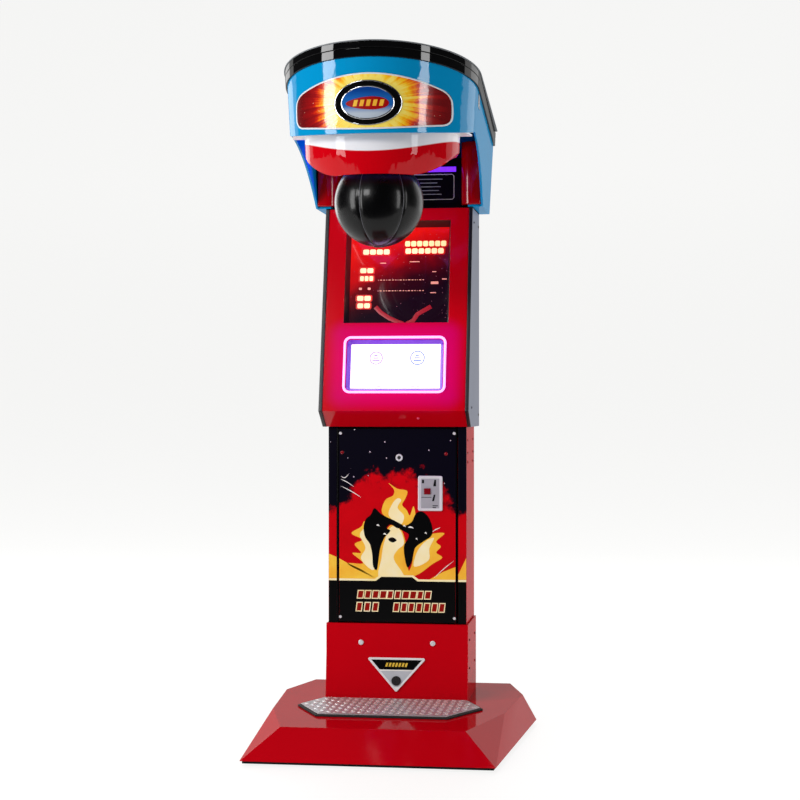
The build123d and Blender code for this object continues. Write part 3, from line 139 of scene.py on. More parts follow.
def soft_light(name, place, aim, size, watts, tint=(1.0, 1.0, 1.0)):
    """A rectangular softbox pointed at a spot."""
    lamp = bpy.data.lights.new(name, "AREA")
    lamp.shape = "RECTANGLE"
    lamp.size, lamp.size_y = size
    lamp.energy = watts
    lamp.color = tint
    made = bpy.data.objects.new(name, lamp)
    made.location = place
    made.rotation_euler = (Vector(aim) - Vector(place)).to_track_quat("-Z", "Y").to_euler()
    bpy.context.scene.collection.objects.link(made)


sweep_sheet()
CHEST = (0.0, 0.0, 1.1)
soft_light("left_softbox", (-3.6, -2.4, 2.0), CHEST, (1.2, 3.0), 110)
soft_light("right_softbox", (3.9, -2.2, 1.9), CHEST, (0.8, 3.0), 55)
soft_light("front_softbox", (-2.2, -4.6, 3.4), CHEST, (1.6, 1.2), 90)
soft_light("back_left_softbox", (-2.6, 3.2, 2.6), CHEST, (1.6, 2.6), 30)
soft_light("back_right_softbox", (2.6, 3.4, 2.6), CHEST, (1.6, 2.6), 12)

world = bpy.data.worlds.new("White studio")
world.use_nodes = True
world.node_tree.nodes["Background"].inputs["Color"].default_value = (1.0, 1.0, 1.0, 1.0)
SEEN_WHITE, LIGHT_GIVEN = 0.92, 0.04
ray = world.node_tree.nodes.new("ShaderNodeLightPath")
share = world.node_tree.nodes.new("ShaderNodeMapRange")
share.inputs["To Min"].default_value = LIGHT_GIVEN
share.inputs["To Max"].default_value = SEEN_WHITE
world.node_tree.links.new(ray.outputs["Is Camera Ray"], share.inputs["Value"])
world.node_tree.links.new(share.outputs["Result"], world.node_tree.nodes["Background"].inputs["Strength"])
bpy.context.scene.world = world
bpy.context.scene.view_settings.view_transform = "Standard"

CAMERA_TURN = math.radians(8.0)
CAMERA_TILT = math.radians(90.16)
CAMERA_AWAY = 5.96
CAMERA_HIGH = 1.0935
camera_data = bpy.data.cameras.new("camera")
camera_data.sensor_width = 36.0
camera_data.lens = 81.0
camera_data.shift_x = 0.0097
camera = bpy.data.objects.new("camera", camera_data)
camera.location = (math.sin(CAMERA_TURN) * CAMERA_AWAY, -math.cos(CAMERA_TURN) * CAMERA_AWAY, CAMERA_HIGH)
camera.rotation_euler = (CAMERA_TILT, 0.0, CAMERA_TURN)
bpy.context.scene.collection.objects.link(camera)
bpy.context.scene.camera = camera
print("studio: sweep,", len(bpy.data.lights), "lights, lens", camera_data.lens, "mm")

# %% [markdown]
# ## Edges that catch the light
# No sheet, moulding or board has a perfectly sharp edge: a folded sheet has a radius of about its own
# thickness, and paint gathers on it. That thin bright line is what tells the eye that a part is real.
# We could model each part again, or round the edges of a copy of the solid. The copy keeps the true
# shape, so that is the way here: join its flat facets, bevel every sharp edge, and shade it smooth.

# %% Rounded copies of the solids
def show(made, body, slot, finish):
    """Puts a finish on a piece and lets it ride on a body."""
    made.data.materials.clear()
    made.data.materials.append(finish)
    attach(made, body)
    return made


def shade(made, angle=38.0):
    """Smooth shading, broken at edges sharper than an angle."""
    for face in made.data.polygons:
        face.use_smooth = True
    made.data.set_sharp_from_angle(angle=math.radians(angle))


def soften(node, width_mm, finish, segments=2, sharp=28.0):
    """A copy of a solid with rounded edges, in place of the solid."""
    made = bpy.data.objects.new(node + "_finished", NODES[node].data.copy())
    bpy.context.scene.collection.objects.link(made)
    shape = bmesh.new()
    shape.from_mesh(made.data)
    bmesh.ops.remove_doubles(shape, verts=shape.verts, dist=0.00002)
    bmesh.ops.dissolve_limit(shape, angle_limit=math.radians(0.8), verts=shape.verts, edges=shape.edges)
    edges = [e for e in shape.edges
             if len(e.link_faces) == 2 and e.calc_face_angle(0.0) > math.radians(sharp)]
    bmesh.ops.bevel(shape, geom=edges, offset=width_mm * MM, segments=segments, profile=0.5,
                    affect="EDGES", clamp_overlap=True)
    shape.to_mesh(made.data)
    shape.free()
    shade(made)
    fair = made.modifiers.new("even_normals", "WEIGHTED_NORMAL")
    fair.keep_sharp = True
    show(made, BODY_OF[node], SLOT_OF[node], finish)
    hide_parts(node)
    return made


def finish_node(node, finish):
    """Puts a finish on a solid whose shape is already right."""
    NODES[node].data.materials.clear()
    NODES[node].data.materials.append(finish)
    for face in NODES[node].data.polygons:
        face.material_index = 0


# %% [markdown]
# ## Paint, gelcoat and powder coat
# The sheet steel is sprayed with red enamel and clear lacquer, and the head is a moulding with a
# coloured gelcoat. Both are colour under a clear, smooth skin, so the colour itself is matte and all the
# gloss comes from the coat, which is duller edge-on, where dust lies. A perfectly even colour looks like
# plastic foil, so two close tints drift over half a metre, and a fine orange peel sits in the bump.

# %% Lacquered finishes
EDGE_GLOSS = 0.3           # the share of the coat that is left edge-on


def lacquered(name, light, dark, roughness, coat, peel_mm=4.0, peel=0.06, drift_mm=450.0):
    """Colour under clear lacquer, with orange peel. The gloss is duller edge-on, where dust shows."""
    made, tree, shader = material(name)
    place = add(tree, "TexCoord")
    drift = add(tree, "TexNoise", {"Vector": place.outputs["Object"], "Scale": 1000 / drift_mm,
                                   "Detail": 2.0})
    tint = add(tree, "Mix", {"Factor": drift.outputs["Fac"], "A": linear(light), "B": linear(dark)},
               data_type="RGBA")
    skin = add(tree, "TexNoise", {"Vector": place.outputs["Object"], "Scale": 1000 / peel_mm, "Detail": 1.0})
    bump = add(tree, "Bump", {"Height": skin.outputs["Fac"], "Strength": peel, "Distance": 0.0004})
    tilt = add(tree, "LayerWeight", {"Blend": 0.5})
    clear = add(tree, "MapRange", {"Value": tilt.outputs["Facing"], "From Min": 0.45, "From Max": 0.9,
                                   "To Min": coat, "To Max": coat * EDGE_GLOSS})
    wire(tree, shader, {"Base Color": tint.outputs["Result"], "Roughness": roughness,
                        "Normal": bump.outputs["Normal"], "IOR": 1.5, "Specular IOR Level": 0.0,
                        "Coat Weight": clear.outputs["Result"], "Coat Roughness": roughness * 0.4})
    return made


RED_ENAMEL = lacquered("Red enamel, sprayed and lacquered", "#CC0012", "#BA0010", 0.22, 0.7)
RED_PLINTH = lacquered("Red enamel, sprayed, lower panels", "#CC0012", "#BC0010", 0.20, 0.7)
BLUE_GELCOAT = lacquered("Blue gelcoat, moulded and polished", "#009AD4", "#008CC6", 0.14, 0.9)
BLACK_GELCOAT = lacquered("Black gelcoat, moulded and polished", "#040405", "#070708", 0.08, 1.0, peel=0.03)
WHITE_GELCOAT = lacquered("White gelcoat, moulded and polished", "#F1F1F3", "#E4E5E9", 0.25, 1.0)
THROAT_RED = lacquered("Deep red gelcoat, moulded", "#B4000A", "#980008", 0.22, 0.9)
SILVER_LACQUER = lacquered("Silver-blue lacquer on board", "#9CA0AE", "#9094A3", 0.34, 0.4)
BLACK_POWDER = lacquered("Black powder coat, baked", "#08080A", "#0D0D0F", 0.42, 0.15, peel_mm=3.0, peel=0.2)
BACK_POWDER = lacquered("Charcoal powder coat, baked", "#1C1C20", "#26262A", 0.5, 0.1, peel_mm=3.0, peel=0.2)
LID_GREY = lacquered("Grey gelcoat, satin", "#8C9094", "#7C8084", 0.42, 0.3)

# %% [markdown]
# ## Plastics, rubber and metal
# Trim strips and electrical parts are injection moulded: the tool is spark eroded, which leaves a fine
# grain and a satin look. Rubber is duller, with dust in its texture. Metals have no diffuse colour at
# all: what shows is the direction of the polish, so the brushed steel gets a noise that is stretched
# along one axis, and chrome only a little haze.

# %% Moulded, rubber and metal finishes
def moulded(name, light, dark, roughness, grain_mm=2.5, grain=0.25, drift_mm=60.0):
    """Injection-moulded plastic or rubber with an eroded grain."""
    made, tree, shader = material(name)
    place = add(tree, "TexCoord")
    dust = add(tree, "TexNoise", {"Vector": place.outputs["Object"], "Scale": 1000 / drift_mm, "Detail": 5.0})
    tint = add(tree, "Mix", {"Factor": dust.outputs["Fac"], "A": linear(light), "B": linear(dark)},
               data_type="RGBA")
    pits = add(tree, "TexVoronoi", {"Vector": place.outputs["Object"], "Scale": 1000 / grain_mm})
    bump = add(tree, "Bump", {"Height": pits.outputs["Distance"], "Strength": grain, "Distance": 0.0003})
    gloss = add(tree, "MapRange", {"Value": dust.outputs["Fac"], "To Min": roughness * 0.85,
                                   "To Max": roughness * 1.15})
    wire(tree, shader, {"Base Color": tint.outputs["Result"], "Roughness": gloss.outputs["Result"],
                        "Normal": bump.outputs["Normal"], "IOR": 1.49})
    return made


def metal(name, light, dark, roughness, stretch=(1, 1, 1), line_mm=2.0, score=0.15, bare=1.0):
    """Bare or plated metal. stretch draws the polish lines out; bare is less than 1 under dust."""
    made, tree, shader = material(name)
    place = add(tree, "TexCoord")
    along = add(tree, "Mapping", {"Vector": place.outputs["Object"], "Scale": stretch})
    lines = add(tree, "TexNoise", {"Vector": along.outputs["Vector"], "Scale": 1000 / line_mm, "Detail": 4.0})
    tint = add(tree, "Mix", {"Factor": lines.outputs["Fac"], "A": linear(light), "B": linear(dark)},
               data_type="RGBA")
    gloss = add(tree, "MapRange", {"Value": lines.outputs["Fac"], "To Min": roughness * 0.7,
                                   "To Max": roughness * 1.4})
    bump = add(tree, "Bump", {"Height": lines.outputs["Fac"], "Strength": score, "Distance": 0.0002})
    wire(tree, shader, {"Base Color": tint.outputs["Result"], "Roughness": gloss.outputs["Result"],
                        "Normal": bump.outputs["Normal"], "Metallic": bare})
    return made


BLACK_TRIM = moulded("Black ABS, eroded satin", "#101012", "#1A1A1D", 0.35)
GREY_PLASTIC = moulded("Grey ABS, eroded matte", "#4A4B4E", "#3C3D40", 0.5)
RED_LENS = moulded("Red acrylic, moulded", "#8E0A18", "#6A0612", 0.15, grain=0.03)
RUBBER = moulded("Black rubber, pressed", "#0E0E0F", "#1B1B1C", 0.7, grain=0.4)
GREEN_BOARD = moulded("Green solder mask on glass fibre", "#0F5A2C", "#0B4422", 0.35, grain=0.1)
CHROME = metal("Chrome plate, polished", "#E8E9EC", "#D6D8DC", 0.10, score=0.02)
BRUSHED = metal("Stainless steel, brushed", "#C9CBCE", "#A9ACB0", 0.30, stretch=(0.06, 1, 1), line_mm=1.5)
BRIGHT = metal("Steel, bright zinc plated", "#E8E8EA", "#DADADE", 0.34, line_mm=6.0, score=0.02, bare=0.35)
ZINC = metal("Die-cast zinc, satin", "#C2C4C8", "#A6A9AE", 0.36, line_mm=6.0)
IRON = metal("Cast iron, painted grey", "#4A4D50", "#3A3C3F", 0.55, line_mm=5.0, score=0.3)
# The chequer plate's faint pink tint is a painted reflection of the red enamel round it.
TREAD_METAL = metal("Aluminium chequer plate, rolled", "#B8B0B2", "#A49A9E", 0.34,
                    stretch=(1, 0.2, 1), line_mm=8.0, score=0.05, bare=0.3)

ROUNDED = {
    "base_cover": (5.0, RED_PLINTH), "plinth_shroud": (2.6, RED_PLINTH), "cabinet_wrap": (1.2, RED_ENAMEL),
    "housing_front": (2.4, RED_ENAMEL), "front_strip_left": (0.8, BLACK_POWDER),
    "front_strip_right": (0.8, BLACK_POWDER), "service_door": (0.8, BLACK_POWDER),
    "housing_side_left": (1.5, SILVER_LACQUER), "housing_side_right": (1.5, SILVER_LACQUER),
    "edge_mouldings": (1.2, BLACK_TRIM), "tread_pad": (1.5, RUBBER), "rubber_feet": (1.5, RUBBER),
    "housing_back": (0.8, BACK_POWDER), "head_shell": (1.6, BLUE_GELCOAT), "head_rim": (1.4, BLACK_GELCOAT),
    "throat_cheeks": (3.0, THROAT_RED), "coin_reject_button": (0.6, RED_LENS), "bearings": (1.2, IRON),
    "coin_return_flap": (0.4, ZINC), "badge_lock": (0.8, BLACK_TRIM), "door_lock_body": (0.8, BRIGHT),
    "display_surround": (0.8, BLACK_TRIM), "swing_arm": (1.0, BRUSHED), "mains_inlet": (0.6, BLACK_TRIM),
    "power_switch": (0.6, BLACK_TRIM), "throat_back": (0.8, BLACK_POWDER),
}
PLAIN = {
    "base_pan": BLACK_POWDER, "column_frame": BLACK_POWDER, "cabinet_header": BLACK_POWDER,
    "hinge_leaf_fixed": BLACK_POWDER, "hinge_leaf_moving": BLACK_POWDER, "speed_vane": BRUSHED,
    "cash_box": BLACK_POWDER, "plinth_bolts": BRIGHT, "door_screws": BRIGHT, "pivot_shaft": BRUSHED,
    "door_lock_cam": CHROME, "catch_magnet": IRON, "stop_buffers": RUBBER, "coin_acceptor": GREY_PLASTIC,
    "power_supply": ZINC, "speed_sensor": GREY_PLASTIC, "control_board": GREEN_BOARD,
    "digit_modules": GREEN_BOARD, "door_studs": RED_LENS,
}
for node, (width, finish) in ROUNDED.items():
    soften(node, width, finish)
for node, finish in PLAIN.items():
    finish_node(node, finish)
print("finished", len(ROUNDED), "rounded parts and", len(PLAIN), "plain ones")

# %% [markdown]
# ## The printed front
# One picture runs over the door and the two trim strips, so its background is one shader that reads the
# height and the distance from the middle. The picture's shapes are separate cut vinyl layers with a soft
# outline, 0.12 mm thick, so they need no stretched picture file and stay sharp from close by.

# %% Poster background and cut shapes
def smooth_line(points, steps=5):
    """A closed line through the points, rounded like a drawn curve."""
    made = []
    count = len(points)
    for i in range(count):
        a, b, c, d = (Vector((*points[(i + k) % count], 0.0)) for k in (-1, 0, 1, 2))
        for step in range(steps):
            t = step / steps
            spot = 0.5 * (2 * b + (c - a) * t + (2 * a - 5 * b + 4 * c - d) * t * t
                          + (3 * b - a - 3 * c + d) * t ** 3)
            made.append((spot.x, spot.y))
    return made


def cut_shape(name, points, place, thick, finish, body, slot):
    """A thin layer with a drawn outline. place turns (across, up, out) in mm into a point in metres."""
    low = [place(x, v, 0.0) for x, v in points]
    high = [place(x, v, thick) for x, v in points]
    count = len(points)
    made = mesh_object(name, low + high, [range(count, 2 * count)]
                       + [(i, (i + 1) % count, count + (i + 1) % count, count + i) for i in range(count)])
    shape = bmesh.new()
    shape.from_mesh(made.data)
    bmesh.ops.triangulate(shape, faces=[f for f in shape.faces if len(f.verts) > 4])
    bmesh.ops.recalc_face_normals(shape, faces=shape.faces)
    shape.to_mesh(made.data)
    shape.free()
    return show(made, body, slot, finish)


def inked(name, light, dark, glow=0.0, roughness=0.3, patch_mm=30.0):
    """Printing ink or vinyl under a clear laminate, with the ink's own faint mottle."""
    made, tree, shader = material(name)
    place = add(tree, "TexCoord")
    mottle = add(tree, "TexNoise", {"Vector": place.outputs["Object"], "Scale": 1000 / patch_mm,
                                    "Detail": 4.0})
    tint = add(tree, "Mix", {"Factor": mottle.outputs["Fac"], "A": linear(light), "B": linear(dark)},
               data_type="RGBA")
    wire(tree, shader, {"Base Color": tint.outputs["Result"], "Roughness": roughness, "IOR": 1.45,
                        "Specular IOR Level": 0.15, "Emission Color": tint.outputs["Result"],
                        "Emission Strength": glow})
    return made


# %% [markdown]
# The background is a night sky that gives way to a red cloud below. A noise makes the edge between them
# ragged, and small cells of a second pattern become stars where the sky is dark.

# %% Night sky and red cloud
def poster_ink():
    """Night sky over a red cloud, with a ragged edge between them and a few stars."""
    made, tree, shader = material("Laminated print, night sky over red")
    place = add(tree, "TexCoord")
    axes = add(tree, "SeparateXYZ", {"Vector": place.outputs["Object"]})
    aside = add(tree, "Math", {0: axes.outputs["X"]}, operation="ABSOLUTE")
    cloud = add(tree, "TexNoise", {"Vector": place.outputs["Object"], "Scale": 14.0, "Detail": 9.0,
                                   "Roughness": 0.65})
    fall = add(tree, "MapRange", {"Value": aside.outputs["Value"], "From Min": 0.12, "From Max": 0.20,
                                  "To Max": 0.12})
    lean = add(tree, "Math", {0: fall.outputs["Result"], 1: axes.outputs["Z"]}, operation="ADD")
    ragged = add(tree, "Math", {0: cloud.outputs["Fac"], 1: 0.22, 2: lean.outputs["Value"]},
                 operation="MULTIPLY_ADD")
    edge = add(tree, "MapRange", {"Value": ragged.outputs["Value"], "From Min": 0.945, "From Max": 0.975})
    red = add(tree, "Mix", {"Factor": cloud.outputs["Fac"], "A": linear("#D40010"), "B": linear("#B4000C")},
              data_type="RGBA")
    sky = add(tree, "Mix", {"Factor": edge.outputs["Result"], "A": red.outputs["Result"],
                            "B": linear("#040210")}, data_type="RGBA")
    cells = add(tree, "TexVoronoi", {"Vector": place.outputs["Object"], "Scale": 42.0})
    star = add(tree, "Math", {0: cells.outputs["Distance"], 1: 0.085}, operation="LESS_THAN")
    chosen = add(tree, "Math", {0: cells.outputs["Color"], 1: 0.6}, operation="GREATER_THAN")
    pick = add(tree, "Math", {0: star.outputs["Value"], 1: chosen.outputs["Value"]}, operation="MULTIPLY")
    both = add(tree, "Math", {0: pick.outputs["Value"], 1: edge.outputs["Result"]}, operation="MULTIPLY")
    whole = add(tree, "Mix", {"Factor": both.outputs["Value"], "A": sky.outputs["Result"],
                              "B": linear("#D8CDD6")}, data_type="RGBA")
    wire(tree, shader, {"Base Color": whole.outputs["Result"], "Roughness": 0.32, "IOR": 1.45,
                        "Specular IOR Level": 0.15})
    return made


POSTER = poster_ink()
for node in ("door_poster", "front_strip_left", "front_strip_right"):
    finish_node(node, POSTER)
    worn = bpy.data.objects.get(node + "_finished")
    if worn:
        worn.data.materials.clear()
        worn.data.materials.append(POSTER)
FLAME = inked("Cut vinyl, flame yellow", "#FBDA50", "#F08E14", patch_mm=70.0)
PALE_FLAME = inked("Cut vinyl, pale cream", "#FBF4DC", "#F8DE84", patch_mm=60.0)
BLACK_INK = inked("Cut vinyl, black", "#020203", "#040405")
WHITE_INK = inked("Cut vinyl, white", "#F2F0EA", "#E2E0DA")
RED_INK = inked("Cut vinyl, deep red", "#A01008", "#7E0A06")
print("poster print:", POSTER.name)

# %% [markdown]
# ## Flames and gloves on the door
# The picture is built from the back to the front: a flame, its pale heart, and a pair of black gloves
# that hang from it, with a dark band below. Each layer is a drawn outline in millimetres from the middle
# of the door, and its height from the floor. A title would be lettering, so a row of slanted blocks
# takes its place.

# %% Poster shapes
POSTER_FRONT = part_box("door_poster")[0].y
STRIP_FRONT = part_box("front_strip_left")[0].y


def on_door(x, z, out):
    return (x * MM, POSTER_FRONT - (out + 0.05) * MM, z * MM)


def on_strip(x, z, out):
    return (x * MM, STRIP_FRONT - (out + 0.05) * MM, z * MM)


def layer(name, points, level, finish, rounded=True, place=on_door, body="door", slot="poster"):
    """One cut layer of the picture, at a level counted from the background."""
    line = smooth_line(points) if rounded else points

    def raised(x, z, out):
        return place(x, z, out + level * 0.12)
    return cut_shape(name, line, raised, 0.12, finish, body, slot)


TALL_FLAME = [(-29.37, 829.99), (0.0, 811.35), (34.01, 803.58), (27.83, 777.93), (17.01, 756.96),
              (32.47, 739.09), (43.29, 721.21), (55.66, 752.29), (61.84, 715.77), (46.38, 696.35),
              (7.73, 680.81), (-32.47, 710.34), (-52.56, 733.65), (-40.2, 772.5), (-13.91, 788.04),
              (-10.82, 808.24)]
LEFT_FLAME = [(-69.57, 509.87), (-108.22, 523.86), (-170.06, 556.49), (-115.95, 558.04),
              (-153.05, 591.45), (-123.68, 593.79), (-145.32, 622.53), (-119.04, 638.08),
              (-156.15, 659.05), (-123.68, 680.81), (-109.77, 699.46), (-92.76, 641.96), (-77.3, 579.8),
              (-64.93, 548.72)]
RIGHT_FLAME = [(27.05, 509.87), (73.44, 523.86), (119.81, 558.04), (153.05, 579.8), (132.96, 596.89),
               (148.42, 617.1), (132.96, 634.19), (160.78, 662.16), (115.95, 659.05), (85.03, 641.96),
               (60.29, 610.88), (47.93, 548.72)]
LOW_FLAME = [(-75.75, 508.32), (-68.02, 579.8), (-49.47, 641.96), (-23.19, 687.03), (11.6, 676.15),
             (29.37, 626.42), (35.56, 548.72), (38.65, 508.32)]
PALE_TALL = [(0.0, 777.93), (13.91, 772.5), (1.55, 746.86), (23.19, 719.66), (15.46, 692.46),
             (-3.87, 696.35), (-29.37, 723.55), (-17.01, 758.51)]
PALE_LEFT = [(-88.89, 537.07), (-123.68, 573.58), (-108.22, 610.88), (-127.55, 653.62),
             (-106.67, 673.04), (-89.67, 610.88), (-75.75, 548.72)]
PALE_RIGHT = [(57.98, 548.72), (106.67, 570.48), (109.77, 610.88), (125.23, 645.85), (94.31, 632.64),
              (66.48, 595.34)]
PALE_LOW = [(-60.29, 509.87), (-54.11, 572.03), (-44.83, 626.42), (-21.64, 680.81), (9.28, 673.04),
            (23.19, 626.42), (0.0, 603.11), (-10.82, 572.03), (23.19, 509.87)]
LEFT_GLOVE = [(-77.3, 744.52), (-55.66, 725.88), (-32.47, 713.44), (-7.73, 702.57), (23.19, 683.92),
              (1.55, 677.7), (-21.64, 690.13), (-35.56, 677.7), (-23.19, 668.38), (-43.29, 645.07),
              (-57.2, 610.88), (-63.39, 572.03), (-69.57, 536.29), (-81.94, 548.72), (-85.03, 587.57),
              (-92.76, 622.53), (-109.77, 648.18), (-114.4, 680.81), (-106.67, 707.23),
              (-89.67, 722.77)]
RIGHT_GLOVE = [(23.19, 683.92), (49.47, 699.46), (64.93, 728.98), (86.58, 733.65), (108.22, 713.44),
               (119.81, 679.26), (115.95, 652.84), (89.67, 634.19), (69.57, 620.2), (58.75, 606.22),
               (49.47, 564.26), (35.56, 545.61), (26.28, 575.14), (23.19, 617.1), (35.56, 640.41),
               (38.65, 657.5), (21.64, 668.38), (7.73, 676.15)]
layer("flame_left", LEFT_FLAME, 0, FLAME)
layer("flame_right", RIGHT_FLAME, 0, FLAME)
layer("flame_low", LOW_FLAME, 1, FLAME)
layer("flame_tall", TALL_FLAME, 1, FLAME)
layer("flame_left_heart", PALE_LEFT, 2, PALE_FLAME)
layer("flame_right_heart", PALE_RIGHT, 2, PALE_FLAME)
layer("flame_low_heart", PALE_LOW, 2, PALE_FLAME)
layer("flame_tall_heart", PALE_TALL, 2, PALE_FLAME)
layer("glove_left", LEFT_GLOVE, 3, BLACK_INK)
layer("glove_right", RIGHT_GLOVE, 3, BLACK_INK)
for number, (x, z, wide) in enumerate(((-64.93, 687.03, 10.82), (24.74, 685.47, 9.28), (46.38, 680.81, 20.1),
                                       (97.4, 662.16, 7.73), (-41.74, 657.5, 12.37), (66.48, 641.96, 6.18))):
    glint = [(x - wide / 2, z), (x, z + 3.89), (x + wide / 2, z - 3.11), (x, z - 1.55)]
    layer(f"glove_glint_{number}", glint, 4, WHITE_INK)
GLOVE_THUMB = [(-29.37, 641.96), (-15.46, 646.62), (-1.55, 637.3), (-13.91, 629.53), (-26.28, 634.19)]
layer("glove_thumb", GLOVE_THUMB, 4, BLACK_INK)

# %% [markdown]
# A dark band with a pale edge closes the picture at the bottom, over the door and both strips. Low
# flames lick along it, and a few pale streaks fly out of the fire.

# %% Band, strips and streaks
DOOR_LEFT, DOOR_RIGHT = -197.73, 197.73
BAND_TOP, LINE_TOP, BAND_LOW = 498.99, 505.99, 362.24
for side, tips in (("left", [(DOOR_LEFT, 573.58), (-170.06, 558.04), (-127.55, 539.4), (-69.57, 505.21),
                            (DOOR_LEFT, 505.21)]),
                   ("right", [(DOOR_RIGHT, 548.72), (154.6, 531.63), (108.22, 505.21),
                             (DOOR_RIGHT, 505.21)])):
    layer(f"ground_flame_{side}", tips, 0, FLAME, rounded=False)

TAB = [(-72.66, 498.99), (-54.11, 512.98), (51.02, 512.98), (69.57, 498.99)]
TAB_LINE = [(-76.53, 505.99), (-57.98, 519.19), (54.88, 519.19), (73.44, 505.99)]
BAND = [(DOOR_LEFT, BAND_TOP), *TAB, (DOOR_RIGHT, BAND_TOP), (DOOR_RIGHT, BAND_LOW), (DOOR_LEFT, BAND_LOW)]
EDGE = [(DOOR_LEFT, LINE_TOP), *TAB_LINE, (DOOR_RIGHT, LINE_TOP), (DOOR_RIGHT, BAND_TOP), *reversed(TAB),
        (DOOR_LEFT, BAND_TOP)]
layer("band_line", EDGE, 5, PALE_FLAME, rounded=False)
layer("band", BAND, 5, BLACK_INK, rounded=False)
STRIP_LOW = 356.41
FLAME_LOW = 506.76
for side, (near, far) in (("left", (-234.22, -207.16)), ("right", (207.16, 234.22))):
    body_strip = dict(place=on_strip, body="root")
    layer(f"strip_band_{side}", [(near, BAND_TOP), (far, BAND_TOP), (far, STRIP_LOW), (near, STRIP_LOW)], 2,
          BLACK_INK, rounded=False, **body_strip)
    layer(f"strip_line_{side}", [(near, LINE_TOP), (far, LINE_TOP), (far, BAND_TOP), (near, BAND_TOP)], 2,
          PALE_FLAME, rounded=False, **body_strip)
    near_top, far_top = (589.12, 578.25) if side == "left" else (523.86, 579.8)
    layer(f"strip_flame_{side}", [(near, near_top), (far, far_top), (far, FLAME_LOW), (near, FLAME_LOW)], 0,
          FLAME, rounded=False, **body_strip)
STREAKS = ([(-193.25, 852.94), (-178.56, 848.67), (-163.88, 862.63), (-178.56, 845.56)],
           [(-193.25, 842.43), (-170.06, 833.1), (-146.87, 816.01), (-170.06, 829.99)],
           [(-193.25, 819.12), (-157.69, 803.58), (-122.13, 780.27), (-157.69, 800.47)],
           [(146.87, 680.81), (131.41, 676.15), (115.95, 663.72), (131.41, 673.04)],
           [(193.25, 570.48), (158.47, 544.06), (123.68, 509.87), (158.47, 540.95)])
for number, streak in enumerate(STREAKS):
    layer(f"streak_{number}", streak, 1, WHITE_INK)
print("band from", BAND_LOW, "to", BAND_TOP, "mm,", len(STREAKS), "streaks")

# %% [markdown]
# The title is two rows of slanted blocks, each a red face on a pale edge. The widths in the upper row
# vary a little, as letters do, and a seed keeps them the same each time.

# %% Title blocks
def title_block(number, x, top, wide, high):
    """A slanted block with a pale edge, in place of lettering."""
    tilt = 3.865
    for part, grow, level, finish in (("edge", 3.1, 6, PALE_FLAME), ("face", 0, 7, RED_INK)):
        layer(f"title_{number}_{part}",
              [(x - grow + tilt, top + grow), (x + wide + grow + tilt, top + grow),
               (x + wide + grow, top - high - grow), (x - grow, top - high - grow)],
              level, finish, rounded=False)


random.seed(7)
spot = -135.28
for number in range(10):
    title_block(number, spot, 464.8, 15.46 + 0.773 * random.randint(0, 6), 23.31)
    spot += 25.509
SECOND_ROW = (-139.14, -111.31, -83.48, -12.37, 13.91, 38.65, 64.93, 91.21, 117.5, 142.23)
for number, spot in enumerate(SECOND_ROW, 10):
    title_block(number, spot, 424.4, 15.46, 26.42)
print("title blocks:", 10 + len(SECOND_ROW))

# %% [markdown]
# ## Art on the head
# The front of the head is a draughted oval, so every shape is bent onto it: the helper takes a place
# across and a height, and finds the point on the oval. The marquee carries a burst of fire behind the
# oval emblem.

# %% Marquee, emblem and lip
NOSE = dict(half=310.0, deep=352.0, start=-200.0, height=2190.0, draft=math.tan(math.radians(3.1)))


def on_nose(x, z, out):
    """A point on the head's rounded front, out from its surface."""
    grow = out - NOSE["draft"] * (NOSE["height"] - z)
    half, deep = NOSE["half"] + grow, NOSE["deep"] + grow
    return (x * MM, (NOSE["start"] - deep * math.sqrt(max(0.0, 1 - (x / half) ** 2))) * MM, z * MM)


def ribbon(name, line, wide, out, thick, finish, slot, body="root", place=on_nose, closed=True):
    """A raised line of a given width along a path on a surface."""
    count = len(line)
    rows = []
    for i, (x, z) in enumerate(line):
        before, after = (line[i - 1], line[(i + 1) % count]) if closed else (line[max(i - 1, 0)],
                                                                              line[min(i + 1, count - 1)])
        dx, dz = after[0] - before[0], after[1] - before[1]
        size = math.hypot(dx, dz) or 1.0
        nx, nz = -dz / size * wide / 2, dx / size * wide / 2
        rows += [place(x + nx, z + nz, out), place(x + nx * 0.6, z + nz * 0.6, out + thick),
                 place(x - nx * 0.6, z - nz * 0.6, out + thick), place(x - nx, z - nz, out)]
    faces = []
    for i in range(count if closed else count - 1):
        j = (i + 1) % count
        faces += [(4 * i + k, 4 * j + k, 4 * j + k + 1, 4 * i + k + 1) for k in range(3)]
    made = mesh_object(name, rows, faces)
    shape = bmesh.new()
    shape.from_mesh(made.data)
    bmesh.ops.recalc_face_normals(shape, faces=shape.faces)
    shape.to_mesh(made.data)
    shape.free()
    shade(made, 60)
    return show(made, body, slot, finish)


def patch(name, outline, out, finish, slot, rings=6, place=on_nose, body="root"):
    """A skin inside a star-shaped outline, bent onto a surface in rings from its middle."""
    cx = sum(p[0] for p in outline) / len(outline)
    cz = sum(p[1] for p in outline) / len(outline)
    verts = [place(cx, cz, out)]
    for ring in range(1, rings + 1):
        t = ring / rings
        verts += [place(cx + (x - cx) * t, cz + (z - cz) * t, out) for x, z in outline]
    count = len(outline)
    faces = [(0, 1 + i, 1 + (i + 1) % count) for i in range(count)]
    for ring in range(rings - 1):
        a, b = 1 + ring * count, 1 + (ring + 1) * count
        faces += [(a + i, b + i, b + (i + 1) % count, a + (i + 1) % count) for i in range(count)]
    made = mesh_object(name, verts, faces)
    shade(made, 60)
    return show(made, body, slot, finish)


def oval(half, high, z=2005.0, steps=96):
    return [(half * math.cos(2 * math.pi * i / steps), z + high * math.sin(2 * math.pi * i / steps))
            for i in range(steps)]


